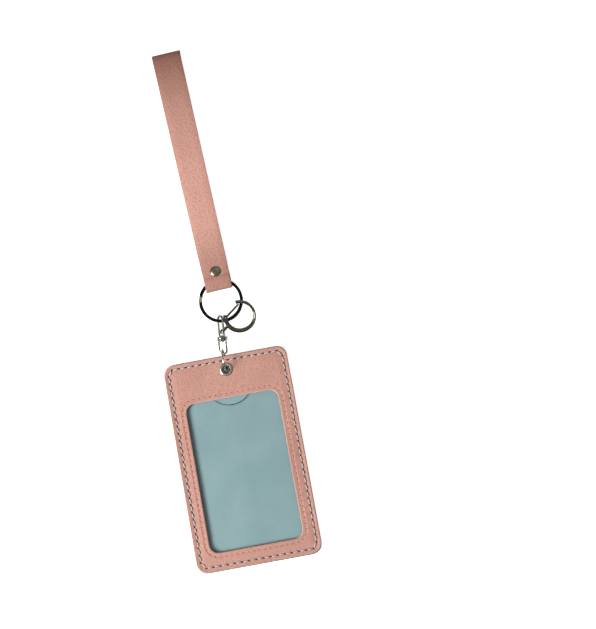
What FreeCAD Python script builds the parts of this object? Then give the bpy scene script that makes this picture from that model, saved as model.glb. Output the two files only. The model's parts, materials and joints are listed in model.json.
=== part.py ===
import FreeCAD, Part
import math
import os

import Sketcher

# An upright badge wallet of sewn leather with a clear card window. An eyelet in its top rail carries
# a jump ring, a two-loop swivel, a split ring with a wire-gate clasp beside it, and a riveted wrist strap.
# Origin: centre of the wallet on the rear face of its back panel. +Y runs to the strap, +Z to the window.

Vector = FreeCAD.Vector
os.makedirs("parts", exist_ok=True)
doc = FreeCAD.newDocument("id_badge_wallet")

# Driving sizes, in millimetres and degrees.
SIZES = [
    ("wallet_width", 70.0, "wallet, side to side"),
    ("wallet_height", 116.0, "wallet, bottom to top"),
    ("wallet_corner", 6.0, "corner radius of the wallet"),
    ("panel_thickness", 1.4, "leather of the front and back panels"),
    ("lining_thickness", 1.0, "lining of the back panel"),
    ("frame_thickness", 1.2, "lining frame behind the front panel"),
    ("lining_proud", 0.3, "how far the lining frame stands past the top edge"),
    ("edge_round", 0.4, "chamfer of the front panel's visible edges"),
    ("window_corner", 5.0, "corner radius of the window"),
    ("window_side", 9.0, "leather beside the window"),
    ("window_rail", 9.7, "leather below the window"),
    ("window_head", 23.3, "leather above the window"),
    ("pocket_lap", 2.5, "card space behind the leather beside the window"),
    ("pocket_rail", 7.6, "lining frame below the card"),
    ("pocket_corner", 1.5, "corner radius of the card space"),
    ("mouth_drop", 18.5, "top edge of the wallet to that of the back panel, where the card goes in"),
    ("mouth_room", 1.5, "card space above that edge"),
    ("film_thickness", 0.3, "clear film"),
    ("film_margin", 5.0, "film behind the leather beside and below the window"),
    ("film_top", 8.4, "film behind the leather above the window"),
    ("film_corner", 2.0, "corner radius of the film"),
    ("film_play", 0.2, "room round the film in its seat"),
    ("notch_radius", 12.6, "thumb notch in the film's top edge"),
    ("eyelet_inset", 7.7, "eyelet centre below the top edge"),
    ("eyelet_bore", 4.4, "clear hole of the eyelet"),
    ("eyelet_wall", 0.3, "wall of the eyelet's barrel"),
    ("eyelet_flange", 7.4, "rolled rim of the eyelet and its washer"),
    ("eyelet_crown", 0.7, "height of the rolled rim"),
    ("washer_thickness", 0.3, "rear washer"),
    ("eyelet_fit", 0.03, "radial clearance round the barrel"),
    ("jump_outer", 12.8, "jump ring, outside"),
    ("jump_wire", 1.0, "jump ring wire"),
    ("jump_cut", 3.0, "cut in the jump ring, degrees"),
    ("link_gap", 0.1, "least gap where the jump ring is linked"),
    ("chain_height", 3.3, "height of the swivel axis above the floor"),
    ("swivel_lean", 4.4, "lean of the swivel to the right, degrees"),
    ("low_width", 5.1, "lower swivel loop, outside"),
    ("low_wire", 1.05, "lower swivel loop wire"),
    ("low_reach", 8.5, "swivel centre to the lower loop's end wire"),
    ("high_width", 6.0, "upper swivel loop, outside"),
    ("high_wire", 1.2, "upper swivel loop wire"),
    ("high_reach", 13.0, "swivel centre to the upper loop's end wire"),
    ("high_turn", 52.0, "turn of the upper loop about the swivel axis, degrees"),
    ("collar_diameter", 5.9, "round collars of the swivel"),
    ("collar_thickness", 1.2, "round collars of the swivel"),
    ("collar_round", 0.25, "edge chamfer of the collars"),
    ("collar_gap", 0.1, "running gap between the collars"),
    ("pin_diameter", 1.5, "swivel pin"),
    ("pin_fit", 0.05, "radial clearance of the swivel pin"),
    ("pin_head", 2.4, "heads of the swivel pin"),
    ("pin_head_height", 0.6, "heads of the swivel pin"),
    ("ring_outer", 25.0, "split ring, outside"),
    ("ring_band", 1.8, "radial width of the split ring"),
    ("ring_turn", 0.88, "thickness of one turn of the split ring"),
    ("ring_seam", 0.04, "gap between the two turns"),
    ("ring_break", 30.0, "crossing from the lower turn to the upper, degrees"),
    ("ring_break_at", 169.5, "place of the crossing, degrees"),
    ("ring_play", 1.46, "slack of the split ring in the upper loop"),
    ("ring_heading", 8.35, "direction from the swivel to the ring's centre, degrees"),
    ("clasp_length", 11.9, "clasp, centre of the eye to centre of the bow"),
    ("clasp_neck", 2.65, "centre of the eye to the outside of the bow"),
    ("clasp_wall", 2.0, "wall of the bow half way round"),
    ("clasp_shift", 0.4, "inner circle of the bow, moved towards the far side"),
    ("clasp_thickness", 2.8, "thickness of the clasp"),
    ("clasp_round", 0.6, "chamfer of the bow's edges"),
    ("clasp_nose", 67.0, "direction of the nose, degrees"),
    ("clasp_heel", 134.5, "direction of the heel, degrees"),
    ("clasp_seat", 4.7, "swivel centre to the clasp's eye, along the loop"),
    ("clasp_heading", 30.0, "direction of the clasp from +X, degrees"),
    ("clasp_tilt", 18.0, "roll of the clasp about its length, degrees"),
    ("clasp_lift", 0.28, "centre of the eye above the loop's wire"),
    ("eye_hole", 3.2, "eye of the clasp, inside"),
    ("eye_wire", 1.3, "eye of the clasp, thickness"),
    ("neck_root", 1.2, "neck where it leaves the eye"),
    ("neck_width", 2.6, "neck where it meets the bow"),
    ("neck_sink", 1.3, "how far the neck runs into the bow"),
    ("gate_wire", 0.9, "wire of the gate"),
    ("gate_spread", 1.9, "distance between the gate's two legs"),
    ("gate_bend", 0.5, "bend radius of the gate's pins"),
    ("gate_tip", 0.08, "tips of the gate's pins from the middle of the heel"),
    ("gate_wall", 1.1, "gate pin to the outside of the bow"),
    ("gate_pivot", 146.0, "direction of the gate's pins, degrees"),
    ("gate_end", 60.0, "direction of the gate's closed end, degrees"),
    ("gate_rest", 0.15, "gap between the gate and the nose"),
    ("gate_tongue", 0.8, "thickness of the heel between the gate's legs"),
    ("gate_recess", 6.0, "round recess in the heel for the gate's legs"),
    ("gate_fit", 0.03, "radial clearance of the gate's pins"),
    ("strap_width", 16.5, "wrist strap at its far end"),
    ("strap_waist", 15.5, "wrist strap past the rivet"),
    ("strap_fold", 14.7, "wrist strap at the fold round the split ring"),
    ("strap_thickness", 1.0, "wrist strap"),
    ("strap_reach", 146.3, "centre of the split ring to the far end of the strap"),
    ("strap_lean", 2.6, "lean of the strap to the left, degrees"),
    ("strap_side", 0.6, "middle line of the strap to the right of the ring's centre"),
    ("strap_room", 0.5, "room above and below the split ring in the fold"),
    ("strap_play", 0.2, "room between the fold and the ring's inner edge"),
    ("strap_loop", 9.0, "height of the bend at the far end"),
    ("strap_floor", 0.05, "strap above the floor"),
    ("layer_gap", 0.05, "gap between the riveted layers"),
    ("tail_length", 5.5, "tail of the strap past the rivet"),
    ("rivet_set", 4.1, "outside of the split ring to the rivet"),
    ("rivet_clear", 0.42, "flat strap round the rivet's caps"),
    ("rivet_cap", 5.9, "caps of the rivet"),
    ("rivet_crown", 1.1, "height of the front cap"),
    ("rivet_base", 0.9, "height of the rear cap"),
    ("rivet_post", 2.4, "post of the rivet"),
    ("rivet_socket", 0.5, "how far the post goes into the front cap"),
    ("rivet_fit", 0.03, "radial clearance of the post"),
]
sheet = doc.addObject("Spreadsheet::Sheet", "sizes")
for row, (alias, size, meaning) in enumerate(SIZES, start=1):
    sheet.set(f"A{row}", meaning)
    sheet.set(f"B{row}", str(size))
    sheet.setAlias(f"B{row}", alias)
doc.recompute()

# Places that follow from the sizes, along the chain from the wallet to the strap.
PLACES = [
    ("frame_z", "sizes.panel_thickness + sizes.lining_thickness"),
    ("front_z", "places.frame_z + sizes.frame_thickness"),
    ("face_z", "places.front_z + sizes.panel_thickness"),
    ("bottom_y", "-sizes.wallet_height / 2"),
    ("window_width", "sizes.wallet_width - 2 * sizes.window_side"),
    ("window_height", "sizes.wallet_height - sizes.window_rail - sizes.window_head"),
    ("window_y", "(sizes.window_rail - sizes.window_head) / 2"),
    ("window_top", "places.window_y + places.window_height / 2"),
    ("mouth_y", "sizes.wallet_height / 2 - sizes.mouth_drop"),
    ("pocket_width", "places.window_width + 2 * sizes.pocket_lap"),
    ("pocket_height", "places.mouth_y + sizes.mouth_room - places.bottom_y - sizes.pocket_rail"),
    ("pocket_y", "places.bottom_y + sizes.pocket_rail + places.pocket_height / 2"),
    ("film_width", "places.window_width + 2 * sizes.film_margin"),
    ("film_height", "places.window_height + sizes.film_margin + sizes.film_top"),
    ("film_y", "places.window_top + sizes.film_top - places.film_height / 2"),
    ("eyelet_y", "sizes.wallet_height / 2 - sizes.eyelet_inset"),
    ("barrel_radius", "sizes.eyelet_bore / 2 + sizes.eyelet_wall"),
    ("washer_z", "places.frame_z - sizes.washer_thickness"),
    ("jump_inner", "sizes.jump_outer / 2 - sizes.jump_wire"),
    ("jump_z", "sizes.jump_outer / 2"),
    (
        "jump_y",
        "places.eyelet_y + sizes.eyelet_bore / 2 + sqrt((places.jump_inner - sizes.link_gap)^2"
        " - (places.jump_z - places.washer_z)^2)",
    ),
    (
        "loop_end_y",
        "places.jump_y + sqrt((places.jump_inner - sizes.low_wire / 2 - sizes.link_gap)^2"
        " - (places.jump_z - sizes.chain_height)^2)",
    ),
    ("swivel_x", "sizes.low_reach * sin(sizes.swivel_lean)"),
    ("swivel_y", "places.loop_end_y + sizes.low_reach * cos(sizes.swivel_lean)"),
    ("high_half", "(sizes.high_width - sizes.high_wire) / 2"),
    ("ring_inner", "sizes.ring_outer / 2 - sizes.ring_band"),
    ("ring_half", "sizes.ring_turn + sizes.ring_seam / 2"),
    ("ring_far", "sizes.high_reach - sizes.high_wire / 2 - sizes.ring_play + places.ring_inner"),
    ("ring_x", "places.swivel_x + places.ring_far * sin(sizes.ring_heading)"),
    ("ring_y", "places.swivel_y + places.ring_far * cos(sizes.ring_heading)"),
    ("eye_side", "places.high_half * cos(sizes.high_turn)"),
    (
        "eye_x",
        "places.swivel_x + sizes.clasp_seat * sin(sizes.swivel_lean)"
        " + places.eye_side * cos(sizes.swivel_lean)",
    ),
    (
        "eye_y",
        "places.swivel_y + sizes.clasp_seat * cos(sizes.swivel_lean)"
        " - places.eye_side * sin(sizes.swivel_lean)",
    ),
    ("eye_z", "sizes.chain_height + places.high_half * sin(sizes.high_turn) + sizes.clasp_lift"),
    ("clasp_bow", "2 * (sizes.clasp_length - sizes.clasp_neck)"),
    ("clasp_hole", "places.clasp_bow - 2 * sizes.clasp_wall"),
    ("eye_mean", "(sizes.eye_hole + sizes.eye_wire) / 2"),
    ("pivot_far", "places.clasp_bow / 2 - sizes.gate_wall"),
    ("pivot_x", "sizes.clasp_length + places.pivot_far * cos(sizes.gate_pivot)"),
    ("pivot_y", "places.pivot_far * sin(sizes.gate_pivot)"),
    ("gate_far", "(places.clasp_hole - sizes.gate_wire) / 2 - sizes.gate_rest"),
    (
        "gate_run",
        "sizes.clasp_length + sizes.clasp_shift + places.gate_far * cos(sizes.gate_end) - places.pivot_x",
    ),
    ("gate_rise", "places.gate_far * sin(sizes.gate_end) - places.pivot_y"),
    ("gate_length", "sqrt(places.gate_run^2 + places.gate_rise^2)"),
    ("gate_angle", "atan2(places.gate_rise; places.gate_run)"),
    ("strap_x", "places.ring_x + sizes.strap_side * cos(sizes.strap_lean)"),
    ("strap_y", "places.ring_y + sizes.strap_side * sin(sizes.strap_lean)"),
    ("rivet_y", "sizes.ring_outer / 2 + sizes.rivet_set"),
    ("stack_half", "1.5 * sizes.strap_thickness + sizes.layer_gap"),
]
places = doc.addObject("App::VarSet", "places")
for name, expression in PLACES:
    places.addProperty("App::PropertyFloat", name)
    places.setExpression(name, expression)
doc.recompute()


def value(expression):
    """The present value of an expression on the sheet."""
    return float(places.evalExpression(expression))


# Helpers for constrained sketches.


def new_body(label):
    body = doc.addObject("PartDesign::Body", label)
    body.Label = label
    return body


def origin(body, role):
    """One of the body's own planes or axes."""
    return next(feature for feature in body.Origin.OriginFeatures if feature.Role == role)


def turn_about(axis, angle):
    """A rotation for an expression."""
    return f"create(<<rotation>>; create(<<vector>>; {axis}); {angle})"


NO_TURN = turn_about("0; 0; 1", "0")
WIRE_FLATS = 12


def placement(x, y, z, turn):
    """A placement for an expression."""
    return f"create(<<placement>>; create(<<vector>>; {x}; {y}; {z}); {turn})"


def place(piece, x="0", y="0", z="0", turn=NO_TURN):
    """Binds where a piece is and how it is turned."""
    piece.setExpression("Placement", placement(x, y, z, turn))


def new_sketch(body, name, role="XY_Plane", lift="0", turn=NO_TURN):
    """A sketch on one of the body's planes, moved along the plane's normal or turned in place."""
    sketch = body.newObject("Sketcher::SketchObject", name)
    sketch.AttachmentSupport = [(origin(body, role), "")]
    sketch.MapMode = "FlatFace"
    sketch.setExpression("AttachmentOffset", placement("0", "0", lift, turn))
    return sketch


def dimension(sketch, name, expression, kind, *where):
    """A driving dimension that is bound to an expression."""
    index = sketch.addConstraint(Sketcher.Constraint(kind, *where, value(expression)))
    sketch.renameConstraint(index, name)
    sketch.setExpression(f"Constraints.{name}", expression)


def pin_point(sketch, name, geometry, corner, x, y):
    """Fixes a point at x, y from the sketch's origin."""
    for axis, kind, expression, line in (("x", "DistanceX", x, -2), ("y", "DistanceY", y, -1)):
        if expression == "0":
            sketch.addConstraint(Sketcher.Constraint("PointOnObject", geometry, corner, line))
        else:
            dimension(sketch, f"{name}_{axis}", expression, kind, -1, 1, geometry, corner)


def circle(sketch, name, diameter, x="0", y="0"):
    shape = Part.Circle(Vector(value(x), value(y), 0), Vector(0, 0, 1), value(diameter) / 2)
    index = sketch.addGeometry(shape)
    dimension(sketch, f"{name}_diameter", diameter, "Diameter", index)
    pin_point(sketch, f"{name}_centre", index, 3, x, y)


def polygon(sketch, name, corners):
    """A closed outline through corners that are each given as two expressions."""
    points = [Vector(value(x), value(y), 0) for x, y in corners]
    first = sketch.GeometryCount
    count = len(points)
    for i in range(count):
        sketch.addGeometry(Part.LineSegment(points[i], points[(i + 1) % count]))
    for i, (x, y) in enumerate(corners):
        sketch.addConstraint(Sketcher.Constraint("Coincident", first + i, 1, first + (i - 1) % count, 2))
        pin_point(sketch, f"{name}_{i}", first + i, 1, x, y)


def wire_section(sketch, diameter, x="0", y="0"):
    """The section of a round wire, drawn with flats to keep the model light."""
    corners = []
    for i in range(WIRE_FLATS):
        angle = 360 * (i + 0.5) / WIRE_FLATS
        across, up = (f"{diameter} / 2 * {turn}({angle})" for turn in ("cos", "sin"))
        corners.append((f"{x} + {across}", f"{y} + {up}"))
    polygon(sketch, "wire", corners)


def rounded_rectangle(sketch, name, width, height, corner, y="0"):
    """A rectangle with round corners, centred on the Y axis."""
    half_w, half_h, radius, middle = value(width) / 2, value(height) / 2, value(corner), value(y)
    first = sketch.GeometryCount
    ends = [(-1, -1, 1, -1), (1, -1, 1, 1), (1, 1, -1, 1), (-1, 1, -1, -1)]
    for x0, y0, x1, y1 in ends:
        along = Vector(x1 - x0, y1 - y0, 0).normalize() * radius
        start = Vector(x0 * half_w, y0 * half_h + middle, 0) + along
        end = Vector(x1 * half_w, y1 * half_h + middle, 0) - along
        sketch.addGeometry(Part.LineSegment(start, end))
    for i, (x, y_side) in enumerate([(1, -1), (1, 1), (-1, 1), (-1, -1)]):
        centre = Vector(x * (half_w - radius), y_side * (half_h - radius) + middle, 0)
        bend = Part.Circle(centre, Vector(0, 0, 1), radius)
        sketch.addGeometry(Part.ArcOfCircle(bend, (i - 1) * math.pi / 2, i * math.pi / 2))
    for i in range(4):
        arc = first + 4 + i
        sketch.addConstraint(Sketcher.Constraint("Tangent", first + i, 2, arc, 1))
        sketch.addConstraint(Sketcher.Constraint("Tangent", arc, 2, first + (i + 1) % 4, 1))
        sketch.addConstraint(Sketcher.Constraint("Vertical" if i % 2 else "Horizontal", first + i))
        if i:
            sketch.addConstraint(Sketcher.Constraint("Equal", first + 4, arc))
    dimension(sketch, f"{name}_corner", corner, "Radius", first + 4)
    dimension(sketch, f"{name}_width", width, "DistanceX", first + 3, 1, first + 1, 1)
    dimension(sketch, f"{name}_height", height, "DistanceY", first, 1, first + 2, 1)
    dimension(sketch, f"{name}_left", f"-({width}) / 2", "DistanceX", -1, 1, first + 3, 1)
    dimension(sketch, f"{name}_base", f"{y} - ({height}) / 2", "DistanceY", -1, 1, first, 1)


def pad(body, sketch, length, midplane=False):
    feature = body.newObject("PartDesign::Pad", f"{sketch.Name}_pad")
    feature.Profile = sketch
    feature.Midplane = midplane
    feature.setExpression("Length", length)
    return feature


def pocket(body, sketch, depth=None, upwards=False):
    """Cuts down from the sketch by a depth, or right through where none is given."""
    feature = body.newObject("PartDesign::Pocket", f"{sketch.Name}_cut")
    feature.Profile = sketch
    feature.Reversed = upwards
    if depth:
        feature.setExpression("Length", depth)
    else:
        feature.Type = "ThroughAll"
        feature.Midplane = not upwards
    return feature


def revolve(body, sketch, role, angle="360"):
    feature = body.newObject("PartDesign::Revolution", f"{sketch.Name}_turned")
    feature.Profile = sketch
    feature.ReferenceAxis = (origin(body, role), [""])
    feature.setExpression("Angle", angle)
    return feature


def turned_piece(label, corners):
    """A piece turned on a lathe: corners are radius and height about a vertical axis."""
    body = new_body(label)
    sketch = new_sketch(body, f"{label}_profile", "XZ_Plane")
    polygon(sketch, "corner", corners)
    revolve(body, sketch, "Z_Axis")
    return body


def pipe(body, path, section):
    feature = body.newObject("PartDesign::AdditivePipe", f"{path.Name}_pipe")
    feature.Profile = section
    feature.Spine = (path, [f"Edge{i + 1}" for i in range(path.GeometryCount)])
    return feature


# The wallet's flat layers, from the back to the front.


def back_layer(label, thickness, height_z):
    """A layer that ends at the card mouth, with the wallet's round corners at its foot."""
    body = new_body(label)
    outline = new_sketch(body, f"{label}_outline")
    rounded_rectangle(outline, "panel", "sizes.wallet_width", "sizes.wallet_height", "sizes.wallet_corner")
    pad(body, outline, thickness)
    mouth = new_sketch(body, f"{label}_mouth")
    side = "sizes.wallet_width"
    top = "sizes.wallet_height"
    mouth_corners = [(f"-{side}", "places.mouth_y"), (side, "places.mouth_y"), (side, top), (f"-{side}", top)]
    polygon(mouth, "mouth", mouth_corners)
    pocket(body, mouth)
    place(body, z=height_z)
    return body


back_panel = back_layer("back_panel", "sizes.panel_thickness", "0")
back_lining = back_layer("back_lining", "sizes.lining_thickness", "sizes.panel_thickness")

EYELET_HOLE = "2 * (places.barrel_radius + sizes.eyelet_fit)"

front_lining = new_body("front_lining")
frame_outline = new_sketch(front_lining, "frame_outline")
rounded_rectangle(
    frame_outline,
    "frame",
    "sizes.wallet_width",
    "sizes.wallet_height + sizes.lining_proud",
    "sizes.wallet_corner",
    "sizes.lining_proud / 2",
)
rounded_rectangle(
    frame_outline, "card", "places.pocket_width", "places.pocket_height", "sizes.pocket_corner", "places.pocket_y"
)
circle(frame_outline, "eyelet", EYELET_HOLE, "0", "places.eyelet_y")
pad(front_lining, frame_outline, "sizes.frame_thickness")
film_seat = new_sketch(front_lining, "film_seat", lift="sizes.frame_thickness")
rounded_rectangle(
    film_seat,
    "seat",
    "places.film_width + 2 * sizes.film_play",
    "places.film_height + 2 * sizes.film_play",
    "sizes.film_corner + sizes.film_play",
    "places.film_y",
)
pocket(front_lining, film_seat, "sizes.film_thickness")
place(front_lining, z="places.frame_z")

window_film = new_body("window_film")
film_outline = new_sketch(window_film, "film_outline")
rounded_rectangle(
    film_outline, "film", "places.film_width", "places.film_height", "sizes.film_corner", "places.film_y"
)
pad(window_film, film_outline, "sizes.film_thickness")
thumb_notch = new_sketch(window_film, "thumb_notch")
circle(thumb_notch, "notch", "2 * sizes.notch_radius", "0", "places.window_top + sizes.film_top")
pocket(window_film, thumb_notch)
place(window_film, z="places.front_z - sizes.film_thickness")

front_panel = new_body("front_panel")
panel_outline = new_sketch(front_panel, "panel_outline")
rounded_rectangle(panel_outline, "panel", "sizes.wallet_width", "sizes.wallet_height", "sizes.wallet_corner")
rounded_rectangle(
    panel_outline, "window", "places.window_width", "places.window_height", "sizes.window_corner", "places.window_y"
)
circle(panel_outline, "eyelet", EYELET_HOLE, "0", "places.eyelet_y")
panel_pad = pad(front_panel, panel_outline, "sizes.panel_thickness")
doc.recompute()


def edges_where(feature, test):
    """Names of the feature's edges that pass a test."""
    return [f"Edge{i}" for i, edge in enumerate(feature.Shape.Edges, start=1) if test(edge)]


def on_front_edge(edge):
    """True on the face side, except round the eyelet's hole."""
    box = edge.BoundBox
    full_circle = edge.isClosed()
    return box.ZMin > value("sizes.panel_thickness") - 1e-4 and not full_circle


panel_round = front_panel.newObject("PartDesign::Chamfer", "panel_round")
panel_round.Base = (panel_pad, edges_where(panel_pad, on_front_edge))
panel_round.setExpression("Size", "sizes.edge_round")
place(front_panel, z="places.front_z")

# The eyelet is set through the front panel and the lining frame, and its end is rolled over a washer.
BORE = "sizes.eyelet_bore / 2"
BARREL = "places.barrel_radius"
RIM = "sizes.eyelet_flange / 2"
ROLL = "(places.barrel_radius + sizes.washer_thickness)"
eyelet = turned_piece(
    "eyelet",
    [
        (BORE, "places.frame_z"),
        (BARREL, "places.washer_z"),
        (ROLL, "places.washer_z"),
        (BARREL, "places.frame_z"),
        (BARREL, "places.face_z"),
        (RIM, "places.face_z"),
        (RIM, "places.face_z + sizes.eyelet_crown * 0.3"),
        (f"{RIM} - sizes.eyelet_crown * 0.5", "places.face_z + sizes.eyelet_crown * 0.85"),
        (f"({RIM} + {BORE}) / 2", "places.face_z + sizes.eyelet_crown"),
        (f"{BORE} + sizes.eyelet_crown * 0.4", "places.face_z + sizes.eyelet_crown * 0.85"),
        (BORE, "places.face_z + sizes.eyelet_crown * 0.3"),
    ],
)
place(eyelet, y="places.eyelet_y")

eyelet_washer = turned_piece(
    "eyelet_washer",
    [
        (f"{BARREL} + sizes.eyelet_fit", "places.frame_z"),
        (f"{ROLL} + sizes.eyelet_fit", "places.washer_z"),
        (RIM, "places.washer_z"),
        (RIM, "places.frame_z"),
    ],
)
place(eyelet_washer, y="places.eyelet_y")

# The jump ring stands on edge, through the eyelet and round the wallet's top edge.
jump_ring = new_body("jump_ring")
jump_section = new_sketch(jump_ring, "jump_section")
wire_section(jump_section, "sizes.jump_wire", "0", "(sizes.jump_outer - sizes.jump_wire) / 2")
revolve(jump_ring, jump_section, "X_Axis", "360 - sizes.jump_cut")
place(jump_ring, "0", "places.jump_y", "places.jump_z", turn_about("1; 0; 0", "90"))


# The swivel: two wire loops on round collars that turn on one pin.


def swivel_loop(label, side, width, wire, reach, bore_radius):
    """A collar about the Y axis with a U of round wire; side is + for the upper loop and - for the lower."""
    body = new_body(label)
    collar = new_sketch(body, f"{label}_collar")
    near = f"{side}sizes.collar_gap / 2"
    far = f"{side}(sizes.collar_gap / 2 + sizes.collar_thickness)"
    near_edge = f"{side}(sizes.collar_gap / 2 + sizes.collar_round)"
    far_edge = f"{side}(sizes.collar_gap / 2 + sizes.collar_thickness - sizes.collar_round)"
    rim = "sizes.collar_diameter / 2"
    polygon(
        collar,
        "collar",
        [
            (bore_radius, near),
            (f"{rim} - sizes.collar_round", near),
            (rim, near_edge),
            (rim, far_edge),
            (f"{rim} - sizes.collar_round", far),
            (bore_radius, far),
        ],
    )
    revolve(body, collar, "Y_Axis")
    half = f"({width} - {wire}) / 2"
    start = f"{side}(sizes.collar_gap / 2 + sizes.collar_thickness / 2)"
    end = f"{side}({reach} - {half})"
    path = new_sketch(body, f"{label}_path")
    x, y0, y1 = value(half), value(start), value(end)
    path.addGeometry(Part.LineSegment(Vector(-x, y0, 0), Vector(-x, y1, 0)))
    bend = Part.Circle(Vector(0, y1, 0), Vector(0, 0, 1), x)
    arc = (0, math.pi) if y1 > 0 else (math.pi, 2 * math.pi)
    path.addGeometry(Part.ArcOfCircle(bend, *arc))
    path.addGeometry(Part.LineSegment(Vector(x, y1, 0), Vector(x, y0, 0)))
    left_end, right_end = (2, 1) if y1 > 0 else (1, 2)
    path.addConstraint(Sketcher.Constraint("Tangent", 0, 2, 1, left_end))
    path.addConstraint(Sketcher.Constraint("Tangent", 1, right_end, 2, 1))
    path.addConstraint(Sketcher.Constraint("Vertical", 0))
    pin_point(path, "left", 0, 1, f"-({half})", start)
    pin_point(path, "right", 2, 2, half, start)
    pin_point(path, "bend", 1, 3, "0", end)
    section = new_sketch(body, f"{label}_section", "XZ_Plane", f"-({start})")
    wire_section(section, wire, f"-({half})")
    pipe(body, path, section)
    return body


LEAN = turn_about("0; 0; 1", "-sizes.swivel_lean")
PIN = "sizes.pin_diameter / 2"
swivel_lower_loop = swivel_loop(
    "swivel_lower_loop", "-", "sizes.low_width", "sizes.low_wire", "sizes.low_reach", PIN
)
place(swivel_lower_loop, "places.swivel_x", "places.swivel_y", "sizes.chain_height", LEAN)

swivel_upper_loop = swivel_loop(
    "swivel_upper_loop", "", "sizes.high_width", "sizes.high_wire", "sizes.high_reach", f"{PIN} + sizes.pin_fit"
)
place(
    swivel_upper_loop,
    "places.swivel_x",
    "places.swivel_y",
    "sizes.chain_height",
    f"{LEAN} * {turn_about('0; 1; 0', '-sizes.high_turn')}",
)

swivel_pin = new_body("swivel_pin")
pin_profile = new_sketch(swivel_pin, "pin_profile")
PIN_FLAT = "(sizes.collar_gap / 2 + sizes.collar_thickness)"
PIN_UPPER = f"({PIN_FLAT} + sizes.collar_gap)"
HEAD = "sizes.pin_head / 2"
polygon(
    pin_profile,
    "pin",
    [
        ("0", f"-({PIN_FLAT} + sizes.pin_head_height)"),
        (f"{HEAD} * 0.6", f"-({PIN_FLAT} + sizes.pin_head_height)"),
        (HEAD, f"-({PIN_FLAT} + sizes.pin_head_height * 0.4)"),
        (HEAD, f"-{PIN_FLAT}"),
        (PIN, f"-{PIN_FLAT}"),
        (PIN, PIN_UPPER),
        (HEAD, PIN_UPPER),
        (HEAD, f"{PIN_UPPER} + sizes.pin_head_height * 0.4"),
        (f"{HEAD} * 0.6", f"{PIN_UPPER} + sizes.pin_head_height"),
        ("0", f"{PIN_UPPER} + sizes.pin_head_height"),
    ],
)
revolve(swivel_pin, pin_profile, "Y_Axis")
place(swivel_pin, "places.swivel_x", "places.swivel_y", "sizes.chain_height", LEAN)

# The split ring is one flat wire of two turns. Where it crosses from the lower turn to the upper, the
# ends of the two turns stand on either side of the crossing.
split_ring = new_body("split_ring")


def ring_section(name, angle, low):
    """A section of the wire in the radial plane at an angle, its underside at low."""
    sketch = new_sketch(split_ring, name, "XZ_Plane", turn=turn_about("0; 1; 0", angle))
    inner, outer, high = "places.ring_inner", "sizes.ring_outer / 2", f"{low} + sizes.ring_turn"
    polygon(sketch, "wire", [(inner, low), (outer, low), (outer, high), (inner, high)])
    return sketch


LOW_TURN = "-places.ring_half"
MIDDLE_TURN = "-sizes.ring_turn / 2"
HIGH_TURN = "sizes.ring_seam / 2"
HALF_BREAK = "sizes.ring_break / 2"
FULL_TURN = "360 - sizes.ring_break"
lower_start = ring_section("lower_start", HALF_BREAK, LOW_TURN)
revolve(split_ring, lower_start, "Z_Axis", FULL_TURN)
crossing_low = ring_section("crossing_low", f"-{HALF_BREAK}", LOW_TURN)
crossing_middle = ring_section("crossing_middle", "0", MIDDLE_TURN)
crossing_high = ring_section("crossing_high", HALF_BREAK, HIGH_TURN)
crossing = split_ring.newObject("PartDesign::AdditiveLoft", "crossing")
crossing.Profile = crossing_low
crossing.Sections = [crossing_middle, crossing_high]
crossing.Ruled = True
upper_start = ring_section("upper_start", HALF_BREAK, HIGH_TURN)
revolve(split_ring, upper_start, "Z_Axis", FULL_TURN)
place(
    split_ring,
    "places.ring_x",
    "places.ring_y",
    "sizes.chain_height",
    turn_about("0; 0; 1", "sizes.ring_break_at"),
)

# The clasp. In its own frame the eye is at the origin and the bow's centre lies along +X.
clasp_body = new_body("clasp_body")
bow = new_sketch(clasp_body, "bow")
outer_radius, inner_radius = value("places.clasp_bow / 2"), value("places.clasp_hole / 2")
bow_x, hole_x = value("sizes.clasp_length"), value("sizes.clasp_length + sizes.clasp_shift")
nose, heel = math.radians(value("sizes.clasp_nose")), math.radians(value("sizes.clasp_heel"))


def arc_angle(direction):
    """Direction from the inner circle's centre to where a ray from the bow's centre meets that circle."""
    across = (hole_x - bow_x) * math.sin(direction) / inner_radius
    return direction + math.asin(across)


outer_circle = Part.Circle(Vector(bow_x, 0, 0), Vector(0, 0, 1), outer_radius)
inner_circle = Part.Circle(Vector(hole_x, 0, 0), Vector(0, 0, 1), inner_radius)
outer_arc = Part.ArcOfCircle(outer_circle, heel, nose + 2 * math.pi)
inner_arc = Part.ArcOfCircle(inner_circle, arc_angle(heel), arc_angle(nose) + 2 * math.pi)
bow.addGeometry([outer_arc, inner_arc])
bow.addGeometry(Part.LineSegment(outer_arc.StartPoint, inner_arc.StartPoint))
bow.addGeometry(Part.LineSegment(outer_arc.EndPoint, inner_arc.EndPoint))
for line, end in ((2, 1), (3, 2)):
    bow.addConstraint(Sketcher.Constraint("Coincident", 0, end, line, 1))
    bow.addConstraint(Sketcher.Constraint("Coincident", 1, end, line, 2))
    bow.addConstraint(Sketcher.Constraint("PointOnObject", 0, 3, line))
dimension(bow, "outer_diameter", "places.clasp_bow", "Diameter", 0)
dimension(bow, "inner_diameter", "places.clasp_hole", "Diameter", 1)
pin_point(bow, "outer_centre", 0, 3, "sizes.clasp_length", "0")
pin_point(bow, "inner_centre", 1, 3, "sizes.clasp_length + sizes.clasp_shift", "0")
for end, direction in ((1, "sizes.clasp_heel"), (2, "sizes.clasp_nose")):
    across = f"sizes.clasp_length + places.clasp_bow / 2 * cos({direction})"
    dimension(bow, f"end_{end}", across, "DistanceX", -1, 1, 0, end)
bow_pad = pad(clasp_body, bow, "sizes.clasp_thickness", midplane=True)
doc.recompute()


def on_bow_rim(edge):
    """True on the long round edges of the bow's two faces."""
    flat = edge.BoundBox.ZLength < 1e-4
    return flat and edge.Length > value("places.clasp_hole")


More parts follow.
